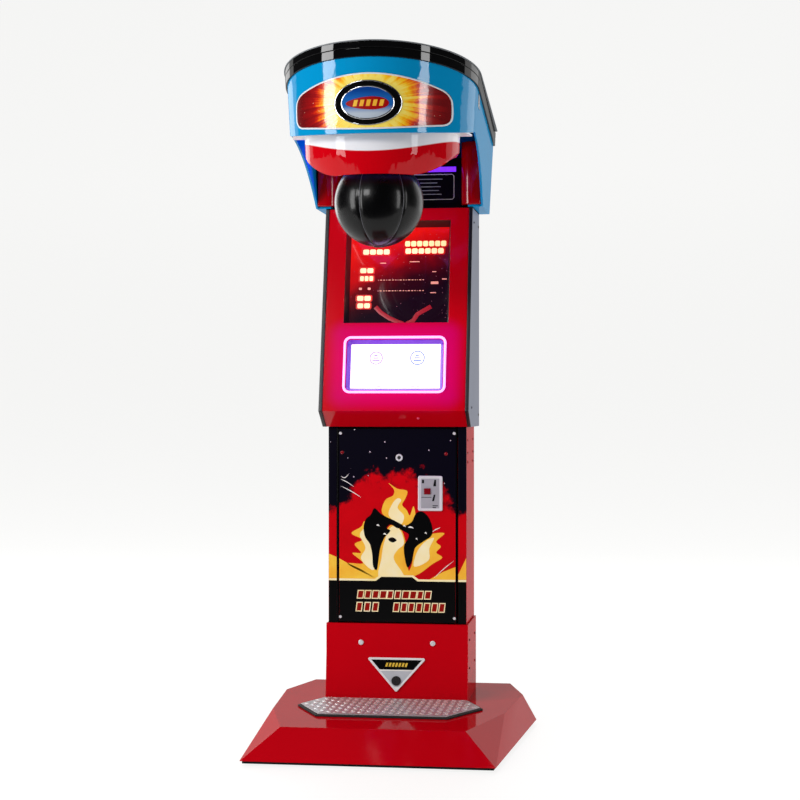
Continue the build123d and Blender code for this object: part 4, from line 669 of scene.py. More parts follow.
# %% [markdown]
# The marquee's film is printed with fire. Its heat falls with the distance from the emblem, and a noise
# that reads only the direction pulls it out into spikes. The lip is one moulding in two colours, so its
# paint changes at a height that rises towards its ends.

# %% Fire film and two-colour gelcoat
def fire_burst():
    """Printed film: fire round the middle that fades to deep red, with sparks."""
    made, tree, shader = material("Backlit printed film, burst of fire")
    place = add(tree, "TexCoord")
    centred = add(tree, "Mapping", {"Vector": place.outputs["Object"], "Location": (0, 0, -2.005 * 1.35),
                                    "Scale": (1.0, 0.0, 1.35)})
    away = add(tree, "VectorMath", {0: centred.outputs["Vector"]}, operation="LENGTH")
    licks = add(tree, "TexNoise", {"Vector": place.outputs["Object"], "Scale": 30.0, "Detail": 8.0,
                                   "Roughness": 0.72, "Distortion": 1.2})
    way = add(tree, "VectorMath", {0: centred.outputs["Vector"]}, operation="NORMALIZE")
    spikes = add(tree, "TexNoise", {"Vector": way.outputs["Vector"], "Scale": 7.0, "Detail": 4.0,
                                    "Roughness": 0.7})
    spread = add(tree, "Math", {0: spikes.outputs["Fac"], 1: -0.16, 2: away.outputs["Value"]},
                 operation="MULTIPLY_ADD")
    reach = add(tree, "Math", {0: licks.outputs["Fac"], 1: -0.05, 2: spread.outputs["Value"]},
                operation="MULTIPLY_ADD")
    heat = add(tree, "ValToRGB", {"Fac": reach.outputs["Value"]})
    stops = heat.color_ramp.elements
    stops[0].position, stops[0].color = 0.004, linear("#FFE468")
    stops[1].position, stops[1].color = 0.120, linear("#6E0006")
    for spot, code in ((0.028, "#FFC81E"), (0.048, "#F87A00"), (0.062, "#D02000"), (0.078, "#98060A")):
        stops.new(spot).color = linear(code)
    cells = add(tree, "TexVoronoi", {"Vector": place.outputs["Object"], "Scale": 55.0})
    spark = add(tree, "Math", {0: cells.outputs["Distance"], 1: 0.06}, operation="LESS_THAN")
    whole = add(tree, "Mix", {"Factor": spark.outputs["Value"], "A": heat.outputs["Color"],
                              "B": linear("#FFE9C8")}, data_type="RGBA")
    wire(tree, shader, {"Base Color": whole.outputs["Result"], "Roughness": 0.18, "Coat Weight": 0.8,
                        "Emission Color": whole.outputs["Result"], "Emission Strength": 0.08})
    return made


def height_print(name, bands, roughness=0.2, coat=0.9, soft=0.0015, bow=0.0):
    """Paint in bands: pairs of a height in metres and the colour above it. bow lifts their ends."""
    made, tree, shader = material(name)
    place = add(tree, "TexCoord")
    axes = add(tree, "SeparateXYZ", {"Vector": place.outputs["Object"]})
    waver = add(tree, "TexNoise", {"Vector": place.outputs["Object"], "Scale": 3.0, "Detail": 2.0})
    square = add(tree, "Math", {0: axes.outputs["X"], 1: axes.outputs["X"]}, operation="MULTIPLY")
    level = add(tree, "Math", {0: square.outputs["Value"], 1: -bow, 2: axes.outputs["Z"]},
                operation="MULTIPLY_ADD")
    colour = linear(bands[0][1])
    for height, code in bands[1:]:
        over = add(tree, "MapRange", {"Value": level.outputs["Value"], "From Min": height - soft,
                                      "From Max": height + soft})
        mixed = add(tree, "Mix", {"Factor": over.outputs["Result"], "A": colour, "B": linear(code)},
                    data_type="RGBA")
        colour = mixed.outputs["Result"]
    gloss = add(tree, "MapRange", {"Value": waver.outputs["Fac"], "To Min": roughness * 0.85,
                                   "To Max": roughness * 1.15})
    wire(tree, shader, {"Base Color": colour, "Roughness": gloss.outputs["Result"], "Coat Weight": coat,
                        "IOR": 1.5, "Specular IOR Level": 0.0})
    return made


soften("marquee_panel", 0.4, fire_burst())
soften("emblem", 1.2, BLACK_GELCOAT)
soften("visor_lip", 2.5, height_print("Two-colour gelcoat, white over red",
                                      ((0.0, "#CC0010"), (1.868, "#EFEDF0")), coat=0.5, bow=0.9))
soften("head_lid", 1.5, LID_GREY, sharp=20.0)

# %% [markdown]
# A white line runs round the marquee: two shallow arcs and two short ends, whose corners are rounded by
# averaging each point with its neighbours. The emblem is built up in thin layers, each a little higher
# than the last, so that no two lie in one plane.

# %% Marquee line and emblem
HALF, LOW, END_LOW, END_HIGH, TOP = 240.0, 1928.0, 1952.0, 2045.0, 2093.0
rim_line = []
for i in range(41):
    x = -HALF + i * HALF / 20
    rim_line.append((x, END_LOW - (END_LOW - LOW) * (1 - (x / HALF) ** 2)))
for i in range(1, 8):
    rim_line.append((HALF + 4 * math.sin(math.pi * i / 8), END_LOW + (END_HIGH - END_LOW) * i / 8))
for i in range(41):
    x = HALF - i * HALF / 20
    rim_line.append((x, END_HIGH + (TOP - END_HIGH) * (1 - (x / HALF) ** 2)))
for i in range(1, 8):
    rim_line.append((-HALF - 4 * math.sin(math.pi * i / 8), END_HIGH - (END_HIGH - END_LOW) * i / 8))
dense = []
for i, (x, z) in enumerate(rim_line):
    nx, nz = rim_line[(i + 1) % len(rim_line)]
    steps = max(1, round(math.hypot(nx - x, nz - z) / 2.0))
    dense += [(x + (nx - x) * k / steps, z + (nz - z) * k / steps) for k in range(steps)]
REACH = 13                 # neighbours on each side, about 2 mm apart
rim_line = [tuple(sum(dense[(i + k) % len(dense)][axis] for k in range(-REACH, REACH + 1)) / (2 * REACH + 1)
                  for axis in (0, 1)) for i in range(0, len(dense), 3)]
ribbon("marquee_outline", rim_line, 5.0, 1.6, 1.2, WHITE_GELCOAT, "marquee_print")
ribbon("emblem_edge", oval(103.0, 66.0), 3.0, 4.6, 0.9, CHROME, "emblem_print")
patch("emblem_field", oval(79.0, 48.0), 6.6, height_print("Printed oval, blue sky over silver",
      ((1.0, "#B9C4D2"), (1.985, "#1C63B4"), (2.030, "#0B3F8E")), 0.2, 1.0, soft=0.012), "emblem_print")
ribbon("emblem_ring", oval(80.0, 49.0), 4.5, 6.2, 1.4, CHROME, "emblem_print")
lens = [(66 * math.cos(2 * math.pi * i / 72), 2003 + 19 * math.sin(2 * math.pi * i / 72)
         * (1 + 0.25 * math.cos(2 * math.pi * i / 72))) for i in range(72)]
patch("emblem_lens", lens, 7.2, inked("Enamel badge, bright red", "#B41010", "#8E0808"), "emblem_print")
for number in range(5):
    x = -44 + number * 20
    block_line = [(x, 1994), (x + 12, 1994), (x + 17, 2013), (x + 5, 2013)]
    patch(f"emblem_block_{number}", block_line, 7.8, FLAME, "emblem_print", rings=2)

# %% [markdown]
# ## The leather ball
# The ball is six leather panels sewn over a bladder. Air pushes each panel out, and the seams hold it in,
# so the panels are slightly crowned and the seam lies in a shallow valley with a thin piping in it. The
# leather is pebbled, with smoother worn patches here and there. A flat top fits the arm.

# %% Ball with six sewn panels
BALL_LOW, BALL_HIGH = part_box("punch_ball")
BALL_R = (BALL_HIGH.x - BALL_LOW.x) / 2
BALL_MID = Vector((0.0, (BALL_LOW.y + BALL_HIGH.y) / 2, BALL_LOW.z + BALL_R))
PANELS = 6
SEAM_TURN = math.radians(12.0)


def seam_depth(turn):
    """How far the skin sinks near a seam, in metres."""
    step = 2 * math.pi / PANELS
    off = (turn - SEAM_TURN) % step
    off = min(off, step - off) * BALL_R
    return 0.0026 * math.exp(-(off / 0.0055) ** 2) + 0.0009 * math.exp(-(off / 0.022) ** 2)


def ball_point(turn, tip):
    """A point of the skin: turn round the upright axis, tip from the lowest point."""
    fade = min(1.0, math.sin(tip) * 4.0)
    reach = BALL_R - 0.0004 - seam_depth(turn) * fade
    flat = math.sin(tip)
    return BALL_MID + Vector((flat * math.cos(turn), flat * math.sin(turn), -math.cos(tip))) * reach


# %% [markdown]
# The hide is black and waxed. Its pebbles are cells about as wide as a grain of rice, and a thin coat of
# wax gives the small, soft highlights.

# %% Leather and the ball's skin
def leather(name, light, dark, roughness):
    """Tanned hide with a pebbled grain and worn, shinier patches."""
    made, tree, shader = material(name)
    place = add(tree, "TexCoord")
    hide = add(tree, "TexNoise", {"Vector": place.outputs["Object"], "Scale": 9.0, "Detail": 4.0})
    tint = add(tree, "Mix", {"Factor": hide.outputs["Fac"], "A": linear(light), "B": linear(dark)},
               data_type="RGBA")
    pebbles = add(tree, "TexVoronoi", {"Vector": place.outputs["Object"], "Scale": 1000 / 2.2})
    creases = add(tree, "TexNoise", {"Vector": place.outputs["Object"], "Scale": 1000 / 9.0, "Detail": 5.0})
    relief = add(tree, "Math", {0: creases.outputs["Fac"], 1: 0.5, 2: pebbles.outputs["Distance"]},
                 operation="MULTIPLY_ADD")
    bump = add(tree, "Bump", {"Height": relief.outputs["Value"], "Strength": 0.35, "Distance": 0.0006})
    worn = add(tree, "MapRange", {"Value": hide.outputs["Fac"], "From Min": 0.35, "From Max": 0.65,
                                  "To Min": roughness, "To Max": roughness + 0.12})
    wire(tree, shader, {"Base Color": tint.outputs["Result"], "Roughness": worn.outputs["Result"],
                        "Normal": bump.outputs["Normal"], "IOR": 1.45, "Specular IOR Level": 0.12,
                        "Coat Weight": 0.35, "Coat Roughness": 0.16})
    return made


def ball_skin():
    around, down = 216, 96
    top = math.acos(-(BALL_HIGH.z - BALL_MID.z) / BALL_R)
    verts = [ball_point(0.0, 0.0)]
    for row in range(1, down + 1):
        tip = top * row / down
        verts += [ball_point(2 * math.pi * i / around, tip) for i in range(around)]
    faces = [(0, 1 + (i + 1) % around, 1 + i) for i in range(around)]
    for row in range(down - 1):
        a, b = 1 + row * around, 1 + (row + 1) * around
        faces += [(a + i, a + (i + 1) % around, b + (i + 1) % around, b + i) for i in range(around)]
    last = 1 + (down - 1) * around
    faces.append([last + i for i in range(around)])
    made = mesh_object("ball_leather_skin", verts, faces)
    shape = bmesh.new()
    shape.from_mesh(made.data)
    bmesh.ops.recalc_face_normals(shape, faces=shape.faces)
    shape.to_mesh(made.data)
    shape.free()
    shade(made, 50)
    return made


def tube(name, line, radius, finish, body, slot, sides=8, closed=False):
    """A round cord along a line of points."""
    count = len(line)
    verts, faces = [], []
    for i, spot in enumerate(line):
        before = line[i - 1] if i or closed else spot
        after = line[(i + 1) % count] if i < count - 1 or closed else spot
        along = (after - before).normalized()
        side = along.orthogonal().normalized()
        if i:
            side = (last_side - along * last_side.dot(along)).normalized()
        last_side = side
        up = along.cross(side)
        verts += [spot + (side * math.cos(2 * math.pi * k / sides) + up * math.sin(2 * math.pi * k / sides))
                  * radius for k in range(sides)]
    for i in range(count if closed else count - 1):
        a, b = i * sides, ((i + 1) % count) * sides
        faces += [(a + k, a + (k + 1) % sides, b + (k + 1) % sides, b + k) for k in range(sides)]
    if not closed:
        faces += [list(range(sides))[::-1], [(count - 1) * sides + k for k in range(sides)]]
    made = mesh_object(name, verts, faces)
    shade(made, 60)
    return show(made, body, slot, finish)


BLACK_LEATHER = leather("Black cowhide, pebbled and waxed", "#020203", "#050506", 0.24)
PIPING = leather("Grey leather piping", "#6A6A70", "#54545A", 0.4)
skin = show(ball_skin(), "punch_arm", "ball_leather", BLACK_LEATHER)
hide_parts("punch_ball")
for number in range(PANELS):
    turn = SEAM_TURN + number * 2 * math.pi / PANELS
    line = [ball_point(turn, math.radians(a)) for a in range(6, 156, 2)]
    tube(f"ball_piping_{number}", line, 0.0011, PIPING, "punch_arm", "ball_leather", sides=6)
cap = [BALL_MID + Vector((0.016 * math.cos(a * math.pi / 12), 0.016 * math.sin(a * math.pi / 12),
                          -BALL_R * math.cos(math.radians(6.0)) + 0.0002)) for a in range(24)]
tube("ball_cap_piping", cap, 0.0009, PIPING, "punch_arm", "ball_leather", sides=6, closed=True)
print("ball radius", round(BALL_R * 1000, 1), "mm")

# %% [markdown]
# ## Displays and light
# Behind the upper glass a printed scoreboard glows: amber digits and dotted lines on a field that fades
# from hot red to a dark violet. The lower screen is plain white light with two pale icons. A thin tube
# of cold light runs round it, and tints the red enamel nearby.

# %% Scoreboard, screen and neon
FACE_ORIGIN = Vector((0.0, 0.020, 1.074))
FACE_UP = Vector((0.0, 148.0, 688.0)).normalized()
FACE_OUT = Vector((0.0, -FACE_UP.z, FACE_UP.y))


def on_face(deep):
    """Places on the sloping face, counted from a depth below it in mm."""
    def place(u, v, out):
        return FACE_ORIGIN + (Vector((1, 0, 0)) * u + FACE_UP * v + FACE_OUT * (out - deep)) * MM
    return place


def glowing(name, light, dark, strength, cell_mm=4.0, rough=0.25):
    """A lit diffuser: light through an acrylic sheet with a faint, fine unevenness."""
    made, tree, shader = material(name)
    place = add(tree, "TexCoord")
    grain = add(tree, "TexNoise", {"Vector": place.outputs["Object"], "Scale": 1000 / cell_mm, "Detail": 3.0})
    tint = add(tree, "Mix", {"Factor": grain.outputs["Fac"], "A": linear(light), "B": linear(dark)},
               data_type="RGBA")
    wire(tree, shader, {"Base Color": tint.outputs["Result"], "Roughness": rough,
                        "Emission Color": tint.outputs["Result"], "Emission Strength": strength})
    return made


def scoreboard_print():
    """Backlit film: hot red above, violet black below, with drifting red clouds and specks."""
    made, tree, shader = material("Backlit printed film, red to violet")
    place = add(tree, "TexCoord")
    axes = add(tree, "SeparateXYZ", {"Vector": place.outputs["Object"]})
    cloud = add(tree, "TexNoise", {"Vector": place.outputs["Object"], "Scale": 11.0, "Detail": 6.0})
    high = add(tree, "Math", {0: cloud.outputs["Fac"], 1: 0.13, 2: axes.outputs["Z"]},
               operation="MULTIPLY_ADD")
    left = add(tree, "Math", {0: axes.outputs["X"], 1: -0.45, 2: high.outputs["Value"]},
               operation="MULTIPLY_ADD")
    glow = add(tree, "MapRange", {"Value": left.outputs["Value"], "From Min": 1.50, "From Max": 1.73})
    heat = add(tree, "ValToRGB", {"Fac": glow.outputs["Result"]})
    stops = heat.color_ramp.elements
    stops[0].position, stops[0].color = 0.0, linear("#1A0616")
    stops[1].position, stops[1].color = 1.0, linear("#FF1410")
    for spot, code in ((0.25, "#3A0614"), (0.5, "#7A0614"), (0.75, "#D80A12")):
        stops.new(spot).color = linear(code)
    cells = add(tree, "TexVoronoi", {"Vector": place.outputs["Object"], "Scale": 70.0})
    speck = add(tree, "Math", {0: cells.outputs["Distance"], 1: 0.07}, operation="LESS_THAN")
    whole = add(tree, "Mix", {"Factor": speck.outputs["Value"], "A": heat.outputs["Color"],
                              "B": linear("#C87890")}, data_type="RGBA")
    wire(tree, shader, {"Base Color": linear("#060306"), "Roughness": 0.08, "Coat Weight": 0.5,
                        "Emission Color": whole.outputs["Result"], "Emission Strength": 0.85})
    return made


finish_node("display_glass", scoreboard_print())
AMBER = glowing("Amber digits behind film", "#FFDCA8", "#FFC488", 1.0)
AMBER_HALO = glowing("Red halo round the digits", "#D81810", "#A8100A", 0.6)
DOTS = glowing("Small text lamps", "#F0A48C", "#D88870", 0.62)
RIBBON_RED = glowing("Red ribbon behind film", "#A80C20", "#7C081A", 0.42)
GLASS_DEEP = 50.0


def face_quad(name, u0, u1, v0, v1, deep, finish, slot, thick=0.3):
    """A small plate on the sloping face with clipped corners."""
    c = min(u1 - u0, v1 - v0) * 0.18
    points = [(u0 + c, v0), (u1 - c, v0), (u1, v0 + c), (u1, v1 - c), (u1 - c, v1), (u0 + c, v1),
              (u0, v1 - c), (u0, v0 + c)]
    return cut_shape(name, points, on_face(deep), thick, finish, "root", slot)


# %% [markdown]
# The digits are lit cells with clipped corners, and each row has a red halo under it. Small text is a
# dotted line of lamps of uneven length, and two red ribbons meet at the bottom of the glass.

# %% Digits, dotted lines and ribbons
ROWS = ((16.0, 160.0, 594.0, 19.0, 7), (18.0, 152.0, 568.0, 19.0, 6), (-128.0, -34.0, 566.0, 18.0, 4),
        (-136.0, -88.0, 500.0, 17.0, 2), (-136.0, -88.0, 472.0, 17.0, 3), (-144.0, -94.0, 402.0, 17.0, 2),
        (-142.0, -96.0, 376.0, 17.0, 2))
for row, (u0, u1, v, high, count) in enumerate(ROWS):
    face_quad(f"digit_halo_{row}", u0 - 4, u1 + 4, v - high / 2 - 4, v + high / 2 + 4, GLASS_DEEP - 0.1,
              AMBER_HALO, "display_glass", 0.1)
    pitch = (u1 - u0) / count
    for cell in range(count):
        left, right = u0 + cell * pitch + 1.5, u0 + (cell + 1) * pitch - 1.5
        face_quad(f"digit_{row}_{cell}", left, right, v - high / 2, v + high / 2, GLASS_DEEP - 0.3, AMBER,
                  "display_glass")
for row, (v, u0, u1) in enumerate(((466.0, -72.0, 84.0), (428.0, -72.0, 88.0))):
    spot, number = u0, 0
    while spot < u1:
        wide = 2.0 + (number * 5) % 7
        face_quad(f"text_lamp_{row}_{number}", spot, spot + wide, v - 1.3, v + 1.3, GLASS_DEEP - 0.3, DOTS,
                  "display_glass", 0.2)
        spot += wide + 4.6
        number += 1
for number, (u, v, wide, high) in enumerate(((120, 494, 14, 3), (122, 455, 26, 9), (155, 468, 16, 4),
                                             (118, 420, 20, 3), (-56, 526, 20, 3), (52, 530, 34, 3),
                                             (-132, 436, 10, 8), (-102, 436, 10, 8))):
    face_quad(f"scoreboard_mark_{number}", u - wide / 2, u + wide / 2, v - high / 2, v + high / 2,
              GLASS_DEEP - 0.3, DOTS, "display_glass", 0.2)
for number, points in enumerate(([(-78, 372), (-60, 352), (-30, 332), (0, 318), (18, 312)],
                                 [(30, 312), (52, 322), (66, 345), (88, 358), (112, 372)])):
    ribbon(f"scoreboard_ribbon_{number}", points, 15.0, 0.2 - GLASS_DEEP, 0.2, RIBBON_RED,
           "display_glass", place=on_face(0.0), closed=False)

# %% [markdown]
# The lower screen is bright enough to look plain white, so its icons are ink in front of it, not light.

# %% Lower screen and its icons
SCREEN_FACE = 22.0         # how far the screen lies behind the sloping face, in mm
SCREEN_WHITE = glowing("White light panel", "#FBF8FF", "#F6F2FF", 0.86, cell_mm=20.0)
finish_node("lower_screen", SCREEN_WHITE)
PALE_ICON = inked("Pale grey icon on the screen", "#A8A8C0", "#9C9CB8")
TEAL_ICON = inked("Pale teal icon on the screen", "#6CAEB0", "#5CA2A6")
for name, u, radius, finish in (("icon_left", -66.0, 21.0, PALE_ICON), ("icon_right", 74.0, 23.0, TEAL_ICON)):
    ring = [(u + radius * math.cos(i * math.pi / 16), 186 + radius * math.sin(i * math.pi / 16))
            for i in range(32)]
    ribbon(name + "_ring", ring, 3.5, 0.4 - SCREEN_FACE, 0.2, finish, "lit_screen", place=on_face(0.0))
    for row in range(3):
        face_quad(f"{name}_bar_{row}", u - 13 + 3 * row, u + 13 - 4 * row, 175 + 9 * row, 179 + 9 * row,
                  SCREEN_FACE - 0.3, finish, "lit_screen", 0.2)
for number, (u, wide) in enumerate(((-62.0, 18.0), (52.0, 16.0), (72.0, 14.0))):
    face_quad(f"screen_caption_{number}", u, u + wide, 86, 88.5, SCREEN_FACE - 0.3, PALE_ICON,
              "lit_screen", 0.2)

# %% [markdown]
# Neon spills its light on what is close by. Red paint takes in violet light and gives almost none back,
# so a lamp alone can't show it: the enamel round the screen gets a faint violet glow of its own, which
# falls off with the distance from the tube. One small lamp shines on the face and one into the throat.

# %% Neon tube and its light
finish_node("neon_tube", glowing("Neon tube, violet white", "#EFB4FF", "#E49CFF", 1.1, cell_mm=3.0))
NEON_REACH, NEON_LIGHT = 0.08, 0.16


def neon_lit(enamel):
    """The same enamel with the neon's violet light falling off round the screen."""
    made = enamel.copy()
    made.name = "Red enamel, sprayed, in violet light"
    tree = made.node_tree
    shader = next(node for node in tree.nodes if node.type == "BSDF_PRINCIPLED")
    low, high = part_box("neon_tube")
    middle = (low + high) / 2
    place = add(tree, "TexCoord")
    centred = add(tree, "VectorMath", {0: place.outputs["Object"], 1: tuple(middle)}, operation="SUBTRACT")
    folded = add(tree, "VectorMath", {0: centred.outputs["Vector"]}, operation="ABSOLUTE")
    beyond = add(tree, "VectorMath", {0: folded.outputs["Vector"], 1: tuple((high - low) / 2)},
                 operation="SUBTRACT")
    outside = add(tree, "VectorMath", {0: beyond.outputs["Vector"], 1: (0.0, 0.0, 0.0)},
                  operation="MAXIMUM")
    away = add(tree, "VectorMath", {0: outside.outputs["Vector"]}, operation="LENGTH")
    near = add(tree, "MapRange", {"Value": away.outputs["Value"], "From Max": NEON_REACH, "To Min": 1.0,
                                  "To Max": 0.0}, interpolation_type="SMOOTHERSTEP")
    glow = add(tree, "Math", {0: near.outputs["Result"], 1: NEON_LIGHT}, operation="MULTIPLY")
    wire(tree, shader, {"Emission Color": linear("#9A00D8"), "Emission Strength": glow.outputs["Value"]})
    return made


VIOLET_ENAMEL = neon_lit(RED_ENAMEL)
for shown in (bpy.data.objects["housing_front_finished"], NODES["housing_front"]):
    shown.data.materials.clear()
    shown.data.materials.append(VIOLET_ENAMEL)
# The violet surround is plastic, not a lamp: its glow is painted light from the neon tube.
finish_node("lower_surround", glowing("Violet plastic, gloss, with painted glow from the tube", "#6A1CB0", "#541490",
                                      0.25))
finish_node("throat_light", glowing("Violet light strip", "#7A30FF", "#5A18E0", 1.6))
finish_node("chin_lamp", glowing("Red pilot lamp", "#C42C50", "#A82040", 0.3))
GLOW_SPOT = on_face(0.0)(0.0, 157.0, 160.0)
GLOW_AIM = on_face(0.0)(0.0, 157.0, 0.0)
soft_light("violet_glow", GLOW_SPOT, GLOW_AIM, (0.40, 0.24), 0.6, tint=(0.50, 0.05, 1.0))
soft_light("throat_glow", (0.0, 0.10, 1.90), (0.0, -0.30, 1.66), (0.30, 0.04), 3.0, tint=(0.35, 0.08, 1.0))
for lamp in ("violet_glow", "throat_glow"):
    bpy.data.objects[lamp].visible_camera = False
    bpy.data.objects[lamp].visible_glossy = False
print("neon reaches", NEON_REACH, "m over the enamel")

# %% [markdown]
# ## Small hardware and labels
# The last layer is what a visitor sees from close by: lugs on the tread plate, the printed badge, screws
# along the panels, the placard in the throat, and the marks round the coin slot. The lugs of chequer
# plate are rolled: low, pointed ovals that alternate in direction, so that a shoe grips either way.

# %% Chequer plate
TREAD_LOW, TREAD_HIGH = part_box("tread_plate")
TREAD_TOP = TREAD_HIGH.z


def inside_tread(x, y, margin):
    """Whether a spot in mm lies on the plate, away from its edge."""
    front, back = TREAD_LOW.y * 1000 + margin, TREAD_HIGH.y * 1000 - margin
    if not front < y < back:
        return False
    wide = TREAD_HIGH.x * 1000 - margin
    if y < -60.0:
        return abs(x) < wide - (-60.0 - y) * 0.49
    return abs(x) < wide - (y + 60.0) * 0.41


def lug_mesh():
    verts, faces = [], []
    long_half, wide_half, high, step = 13.5, 5.0, 1.3, 25.0
    rows = int(340 / step)
    for row in range(-rows, rows + 1):
        for column in range(-15, 16):
            x, y = column * step, -90.0 + row * step
            if not inside_tread(x, y, 15.0):
                continue
            turn = math.radians(45.0 if (row + column) % 2 else -45.0)
            start = len(verts)
            for scale, lift in ((1.0, 0.0), (0.72, high * 0.8), (0.40, high)):
                for k in range(12):
                    a = 2 * math.pi * k / 12
                    px = long_half * scale * math.copysign(abs(math.cos(a)) ** 1.15, math.cos(a))
                    py = wide_half * scale * math.sin(a)
                    verts.append(((x + px * math.cos(turn) - py * math.sin(turn)) * MM,
                                  (y + px * math.sin(turn) + py * math.cos(turn)) * MM,
                                  TREAD_TOP + (lift - 0.02) * MM))
            for ring in range(2):
                a, b = start + 12 * ring, start + 12 * (ring + 1)
                faces += [(a + k, a + (k + 1) % 12, b + (k + 1) % 12, b + k) for k in range(12)]
            faces.append([start + 24 + k for k in range(12)])
    made = mesh_object("tread_lugs", verts, faces)
    shade(made, 60)
    return made


soften("tread_plate", 1.4, TREAD_METAL)
show(lug_mesh(), "root", "tread_aluminium", metal("Aluminium lugs, polished by shoes", "#F4F0F0", "#E6E2E2",
                                                   0.26, line_mm=4.0, score=0.05, bare=0.4))

# %% [markdown]
# The badge is a pressed plate with a bright rim. Its print is two fields, with a pale line between them
# and a row of yellow blocks where a name would be.

# %% Badge
TOE_LEAN = math.atan2(18.0, 158.0)


def on_toe(u, v, out):
    """Places on the plinth's lower facet."""
    up = Vector((0.0, math.sin(TOE_LEAN), math.cos(TOE_LEAN)))
    away = Vector((0.0, -math.cos(TOE_LEAN), math.sin(TOE_LEAN)))
    return Vector((u * MM, 0.092, 0.100)) + (up * v + away * out) * MM


WHITE_RIM = lacquered("White enamel rim, gloss", "#EDEBEC", "#E2E0E2", 0.22, 0.5)
soften("badge_plate", 0.8, WHITE_RIM)
BADGE_GREY = inked("Screen print, silver grey", "#C4C6CC", "#B2B4BA")
BADGE_YELLOW = inked("Screen print, yellow", "#E8C24A", "#D8AE38")
cut_shape("badge_field_top", [(-86, 136), (86, 136), (57, 103), (-57, 103)], on_toe, 4.3, BLACK_INK,
          "root", "badge_print")
cut_shape("badge_line", [(-57, 103), (57, 103), (54, 99), (-54, 99)], on_toe, 4.4, WHITE_INK, "root",
          "badge_print")
cut_shape("badge_field_low", [(-54, 99), (54, 99), (7, 46), (-7, 46)], on_toe, 4.2, BADGE_GREY, "root",
          "badge_print")
for number in range(7):
    u = -38 + number * 11
    cut_shape(f"badge_block_{number}", [(u, 113), (u + 7, 113), (u + 11, 126), (u + 4, 126)], on_toe, 4.5,
              BADGE_YELLOW, "root", "badge_print")

# %% [markdown]
# The coin plate is a die casting, painted silver, with a grey printed field and a few black marks where
# the instructions would be. The field is one uncut sheet, so it lies over the slot and the return flap,
# and the reject button goes behind it when pressed: openings for all three are still to be cut.

# %% Coin plate and its marks
SILVER_PAINT = lacquered("Silver paint on die-cast zinc", "#DAD7DA", "#CBC8CC", 0.30, 0.4)
soften("coin_plate", 0.5, SILVER_PAINT)
COIN_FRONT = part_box("coin_plate")[0].y
COIN_MID = ((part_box("coin_plate")[0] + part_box("coin_plate")[1]) / 2) * 1000


def on_coin(x, z, out):
    """Places in the coin plate's dish, from its middle."""
    return ((COIN_MID.x + x) * MM, COIN_FRONT + (2.0 - out) * MM, (COIN_MID.z + z) * MM)


COIN_MARKS = (("coin_mark_top", [(-28, 34), (-21, 34), (-21, 46), (-28, 46)]),
              ("coin_mark_arrow", [(10, 24), (20, 24), (20, 46), (14, 46)]),
              ("coin_mark_slit", [(6, -26), (13, -26), (18, -4), (12, -4)]),
              ("coin_mark_rule", [(-30, -12), (4, -12), (4, -14), (-30, -14)]),
              ("coin_mark_low", [(8, -40), (26, -40), (26, -43), (8, -43)]),
              ("coin_mark_low_two", [(8, -46), (20, -46), (20, -49), (8, -49)]))
COIN_GREY = inked("Screen print, mid grey", "#A6A4AA", "#96949A")
cut_shape("coin_panel", [(-31, -50), (31, -50), (31, 50), (-31, 50)], on_coin, 0.1, COIN_GREY, "door",
          "black_plastic")
for name, points in COIN_MARKS:
    cut_shape(name, points, on_coin, 0.2, BLACK_INK, "door", "black_plastic")

# %% [markdown]
# A dark placard hangs on the wall behind the ball, with a pale edge and rows of grey rules for its text.

# %% Placard in the throat
WALL_FRONT = 262.0         # the wall behind the ball, in mm


def on_throat(x, z, out):
    return (x * MM, (WALL_FRONT - out) * MM, z * MM)


PLACARD = [(-172, 1802), (172, 1802), (178, 1808), (178, 1882), (172, 1888), (-172, 1888), (-178, 1882),
           (-178, 1808)]
cut_shape("throat_placard", PLACARD, on_throat, 1.0, BLACK_INK, "root", "badge_print")
ribbon("throat_placard_edge", PLACARD, 2.5, 1.0, 0.4, WHITE_INK, "badge_print", place=on_throat)
for side in (-1, 1):
    for row, wide in enumerate((96, 60, 84, 72, 90)):
        left = side * 90 - wide / 2
        z = 1872 - row * 13
        cut_shape(f"throat_rule_{row}_{'left' if side < 0 else 'right'}",
                  [(left, z - 1.3), (left + wide, z - 1.3), (left + wide, z + 1.3), (left, z + 1.3)],
                  on_throat, 1.3, BADGE_GREY, "root", "badge_print")

# %% [markdown]
# Screws hold the panels: pan heads with a drive recess on the sides and the back, the same few sizes all
# over, as a builder buys them by the box.

# %% Screws
def screw_head(name, spot, away, radius, finish, slot, body="root"):
    """A pan-head screw with a hexagon recess, standing on a surface."""
    turn = Vector(away).to_track_quat("Z", "Y").to_matrix()
    rings = ((1.0, 0.0), (0.97, 0.30), (0.82, 0.52), (0.55, 0.62))
    verts = []
    for scale, lift in rings:
        verts += [(radius * scale * math.cos(k * math.pi / 12), radius * scale * math.sin(k * math.pi / 12),
                   radius * lift) for k in range(24)]
    for scale, lift in ((0.50, 0.60), (0.46, 0.20)):
        for k in range(24):
            a = k * math.pi / 12
            flat = math.cos(math.pi / 6) / math.cos((a % (math.pi / 3)) - math.pi / 6)
            verts.append((radius * scale * flat * math.cos(a), radius * scale * flat * math.sin(a),
                          radius * lift))
    faces = []
    for ring in range(5):
        a, b = 24 * ring, 24 * (ring + 1)
        faces += [(a + k, a + (k + 1) % 24, b + (k + 1) % 24, b + k) for k in range(24)]
    faces.append([120 + k for k in range(24)])
    made = mesh_object(name, [Vector(spot) + turn @ Vector(v) for v in verts], faces)
    shade(made, 45)
    return show(made, body, slot, finish)


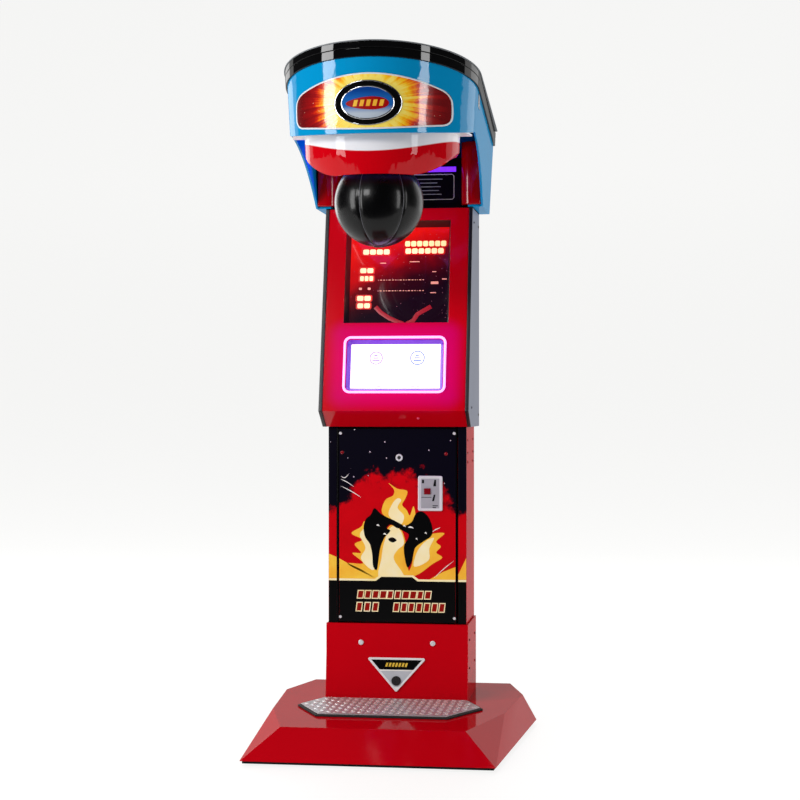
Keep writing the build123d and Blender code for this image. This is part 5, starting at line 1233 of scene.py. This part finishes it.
BLACKENED = metal("Blackened steel screw", "#3A3B3E", "#2A2B2E", 0.35, line_mm=2.0)
for side in (-1, 1):
    hand = "left" if side < 0 else "right"
    spots = [("cabinet_wrap", y, z, 3.5) for y in (0.165, 0.345) for z in (0.975, 0.932, 0.900)]
    spots += [("plinth_shroud", y, z, 4.0) for y in (0.160, 0.350) for z in (0.300, 0.205)]
    spots += [("housing_side_right", y, z, 4.0) for y, z in ((0.205, 1.715), (0.365, 1.715), (0.365, 1.060),
                                                             (0.120, 1.085))]
    for number, (node, y, z, radius) in enumerate(spots):
        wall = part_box(node)[1].x
        screw_head(f"side_screw_{hand}_{number}", (side * wall, y, z), (side, 0, 0), radius * MM, BLACKENED,
                   "steel")
BACK_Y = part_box("housing_back")[1].y
for number, (x, z) in enumerate([(x, z) for x in (-0.225, 0.225) for z in (1.045, 1.220, 1.395, 1.570, 1.740)]
                                + [(0.0, 1.045), (0.0, 1.740)]):
    screw_head(f"back_screw_{number}", (x, BACK_Y, z), (0, 1, 0), 4.0 * MM, BLACKENED, "steel")


# %% [markdown]
# A small silver label sits high on each side of the head.

# %% Side labels
def on_flank(side):
    """Places on one straight side of the head: along it, and the height."""
    def place(y, z, out):
        half = NOSE["half"] + out - NOSE["draft"] * (NOSE["height"] - z)
        return (side * half * MM, y * MM, z * MM)
    return place


LABEL_FILM = inked("Silver label film", "#C9CCD2", "#B7BAC0")
for side in (-1, 1):
    hand = "left" if side < 0 else "right"
    corners = [(-188, 2048), (-140, 2040), (-140, 2078), (-188, 2086)]
    cut_shape(f"side_label_{hand}", corners, on_flank(side), 0.4, LABEL_FILM, "root", "black_plastic")
    ribbon(f"side_label_edge_{hand}", corners, 2.0, 0.4, 0.3, BLACK_INK, "black_plastic",
           place=on_flank(side))
    for row in range(3):
        z = 2052 + row * 9
        cut_shape(f"side_label_rule_{hand}_{row}", [(-182, z + 3), (-148, z - 3), (-148, z), (-182, z + 6)],
                  on_flank(side), 0.6, BLACK_INK, "root", "black_plastic")
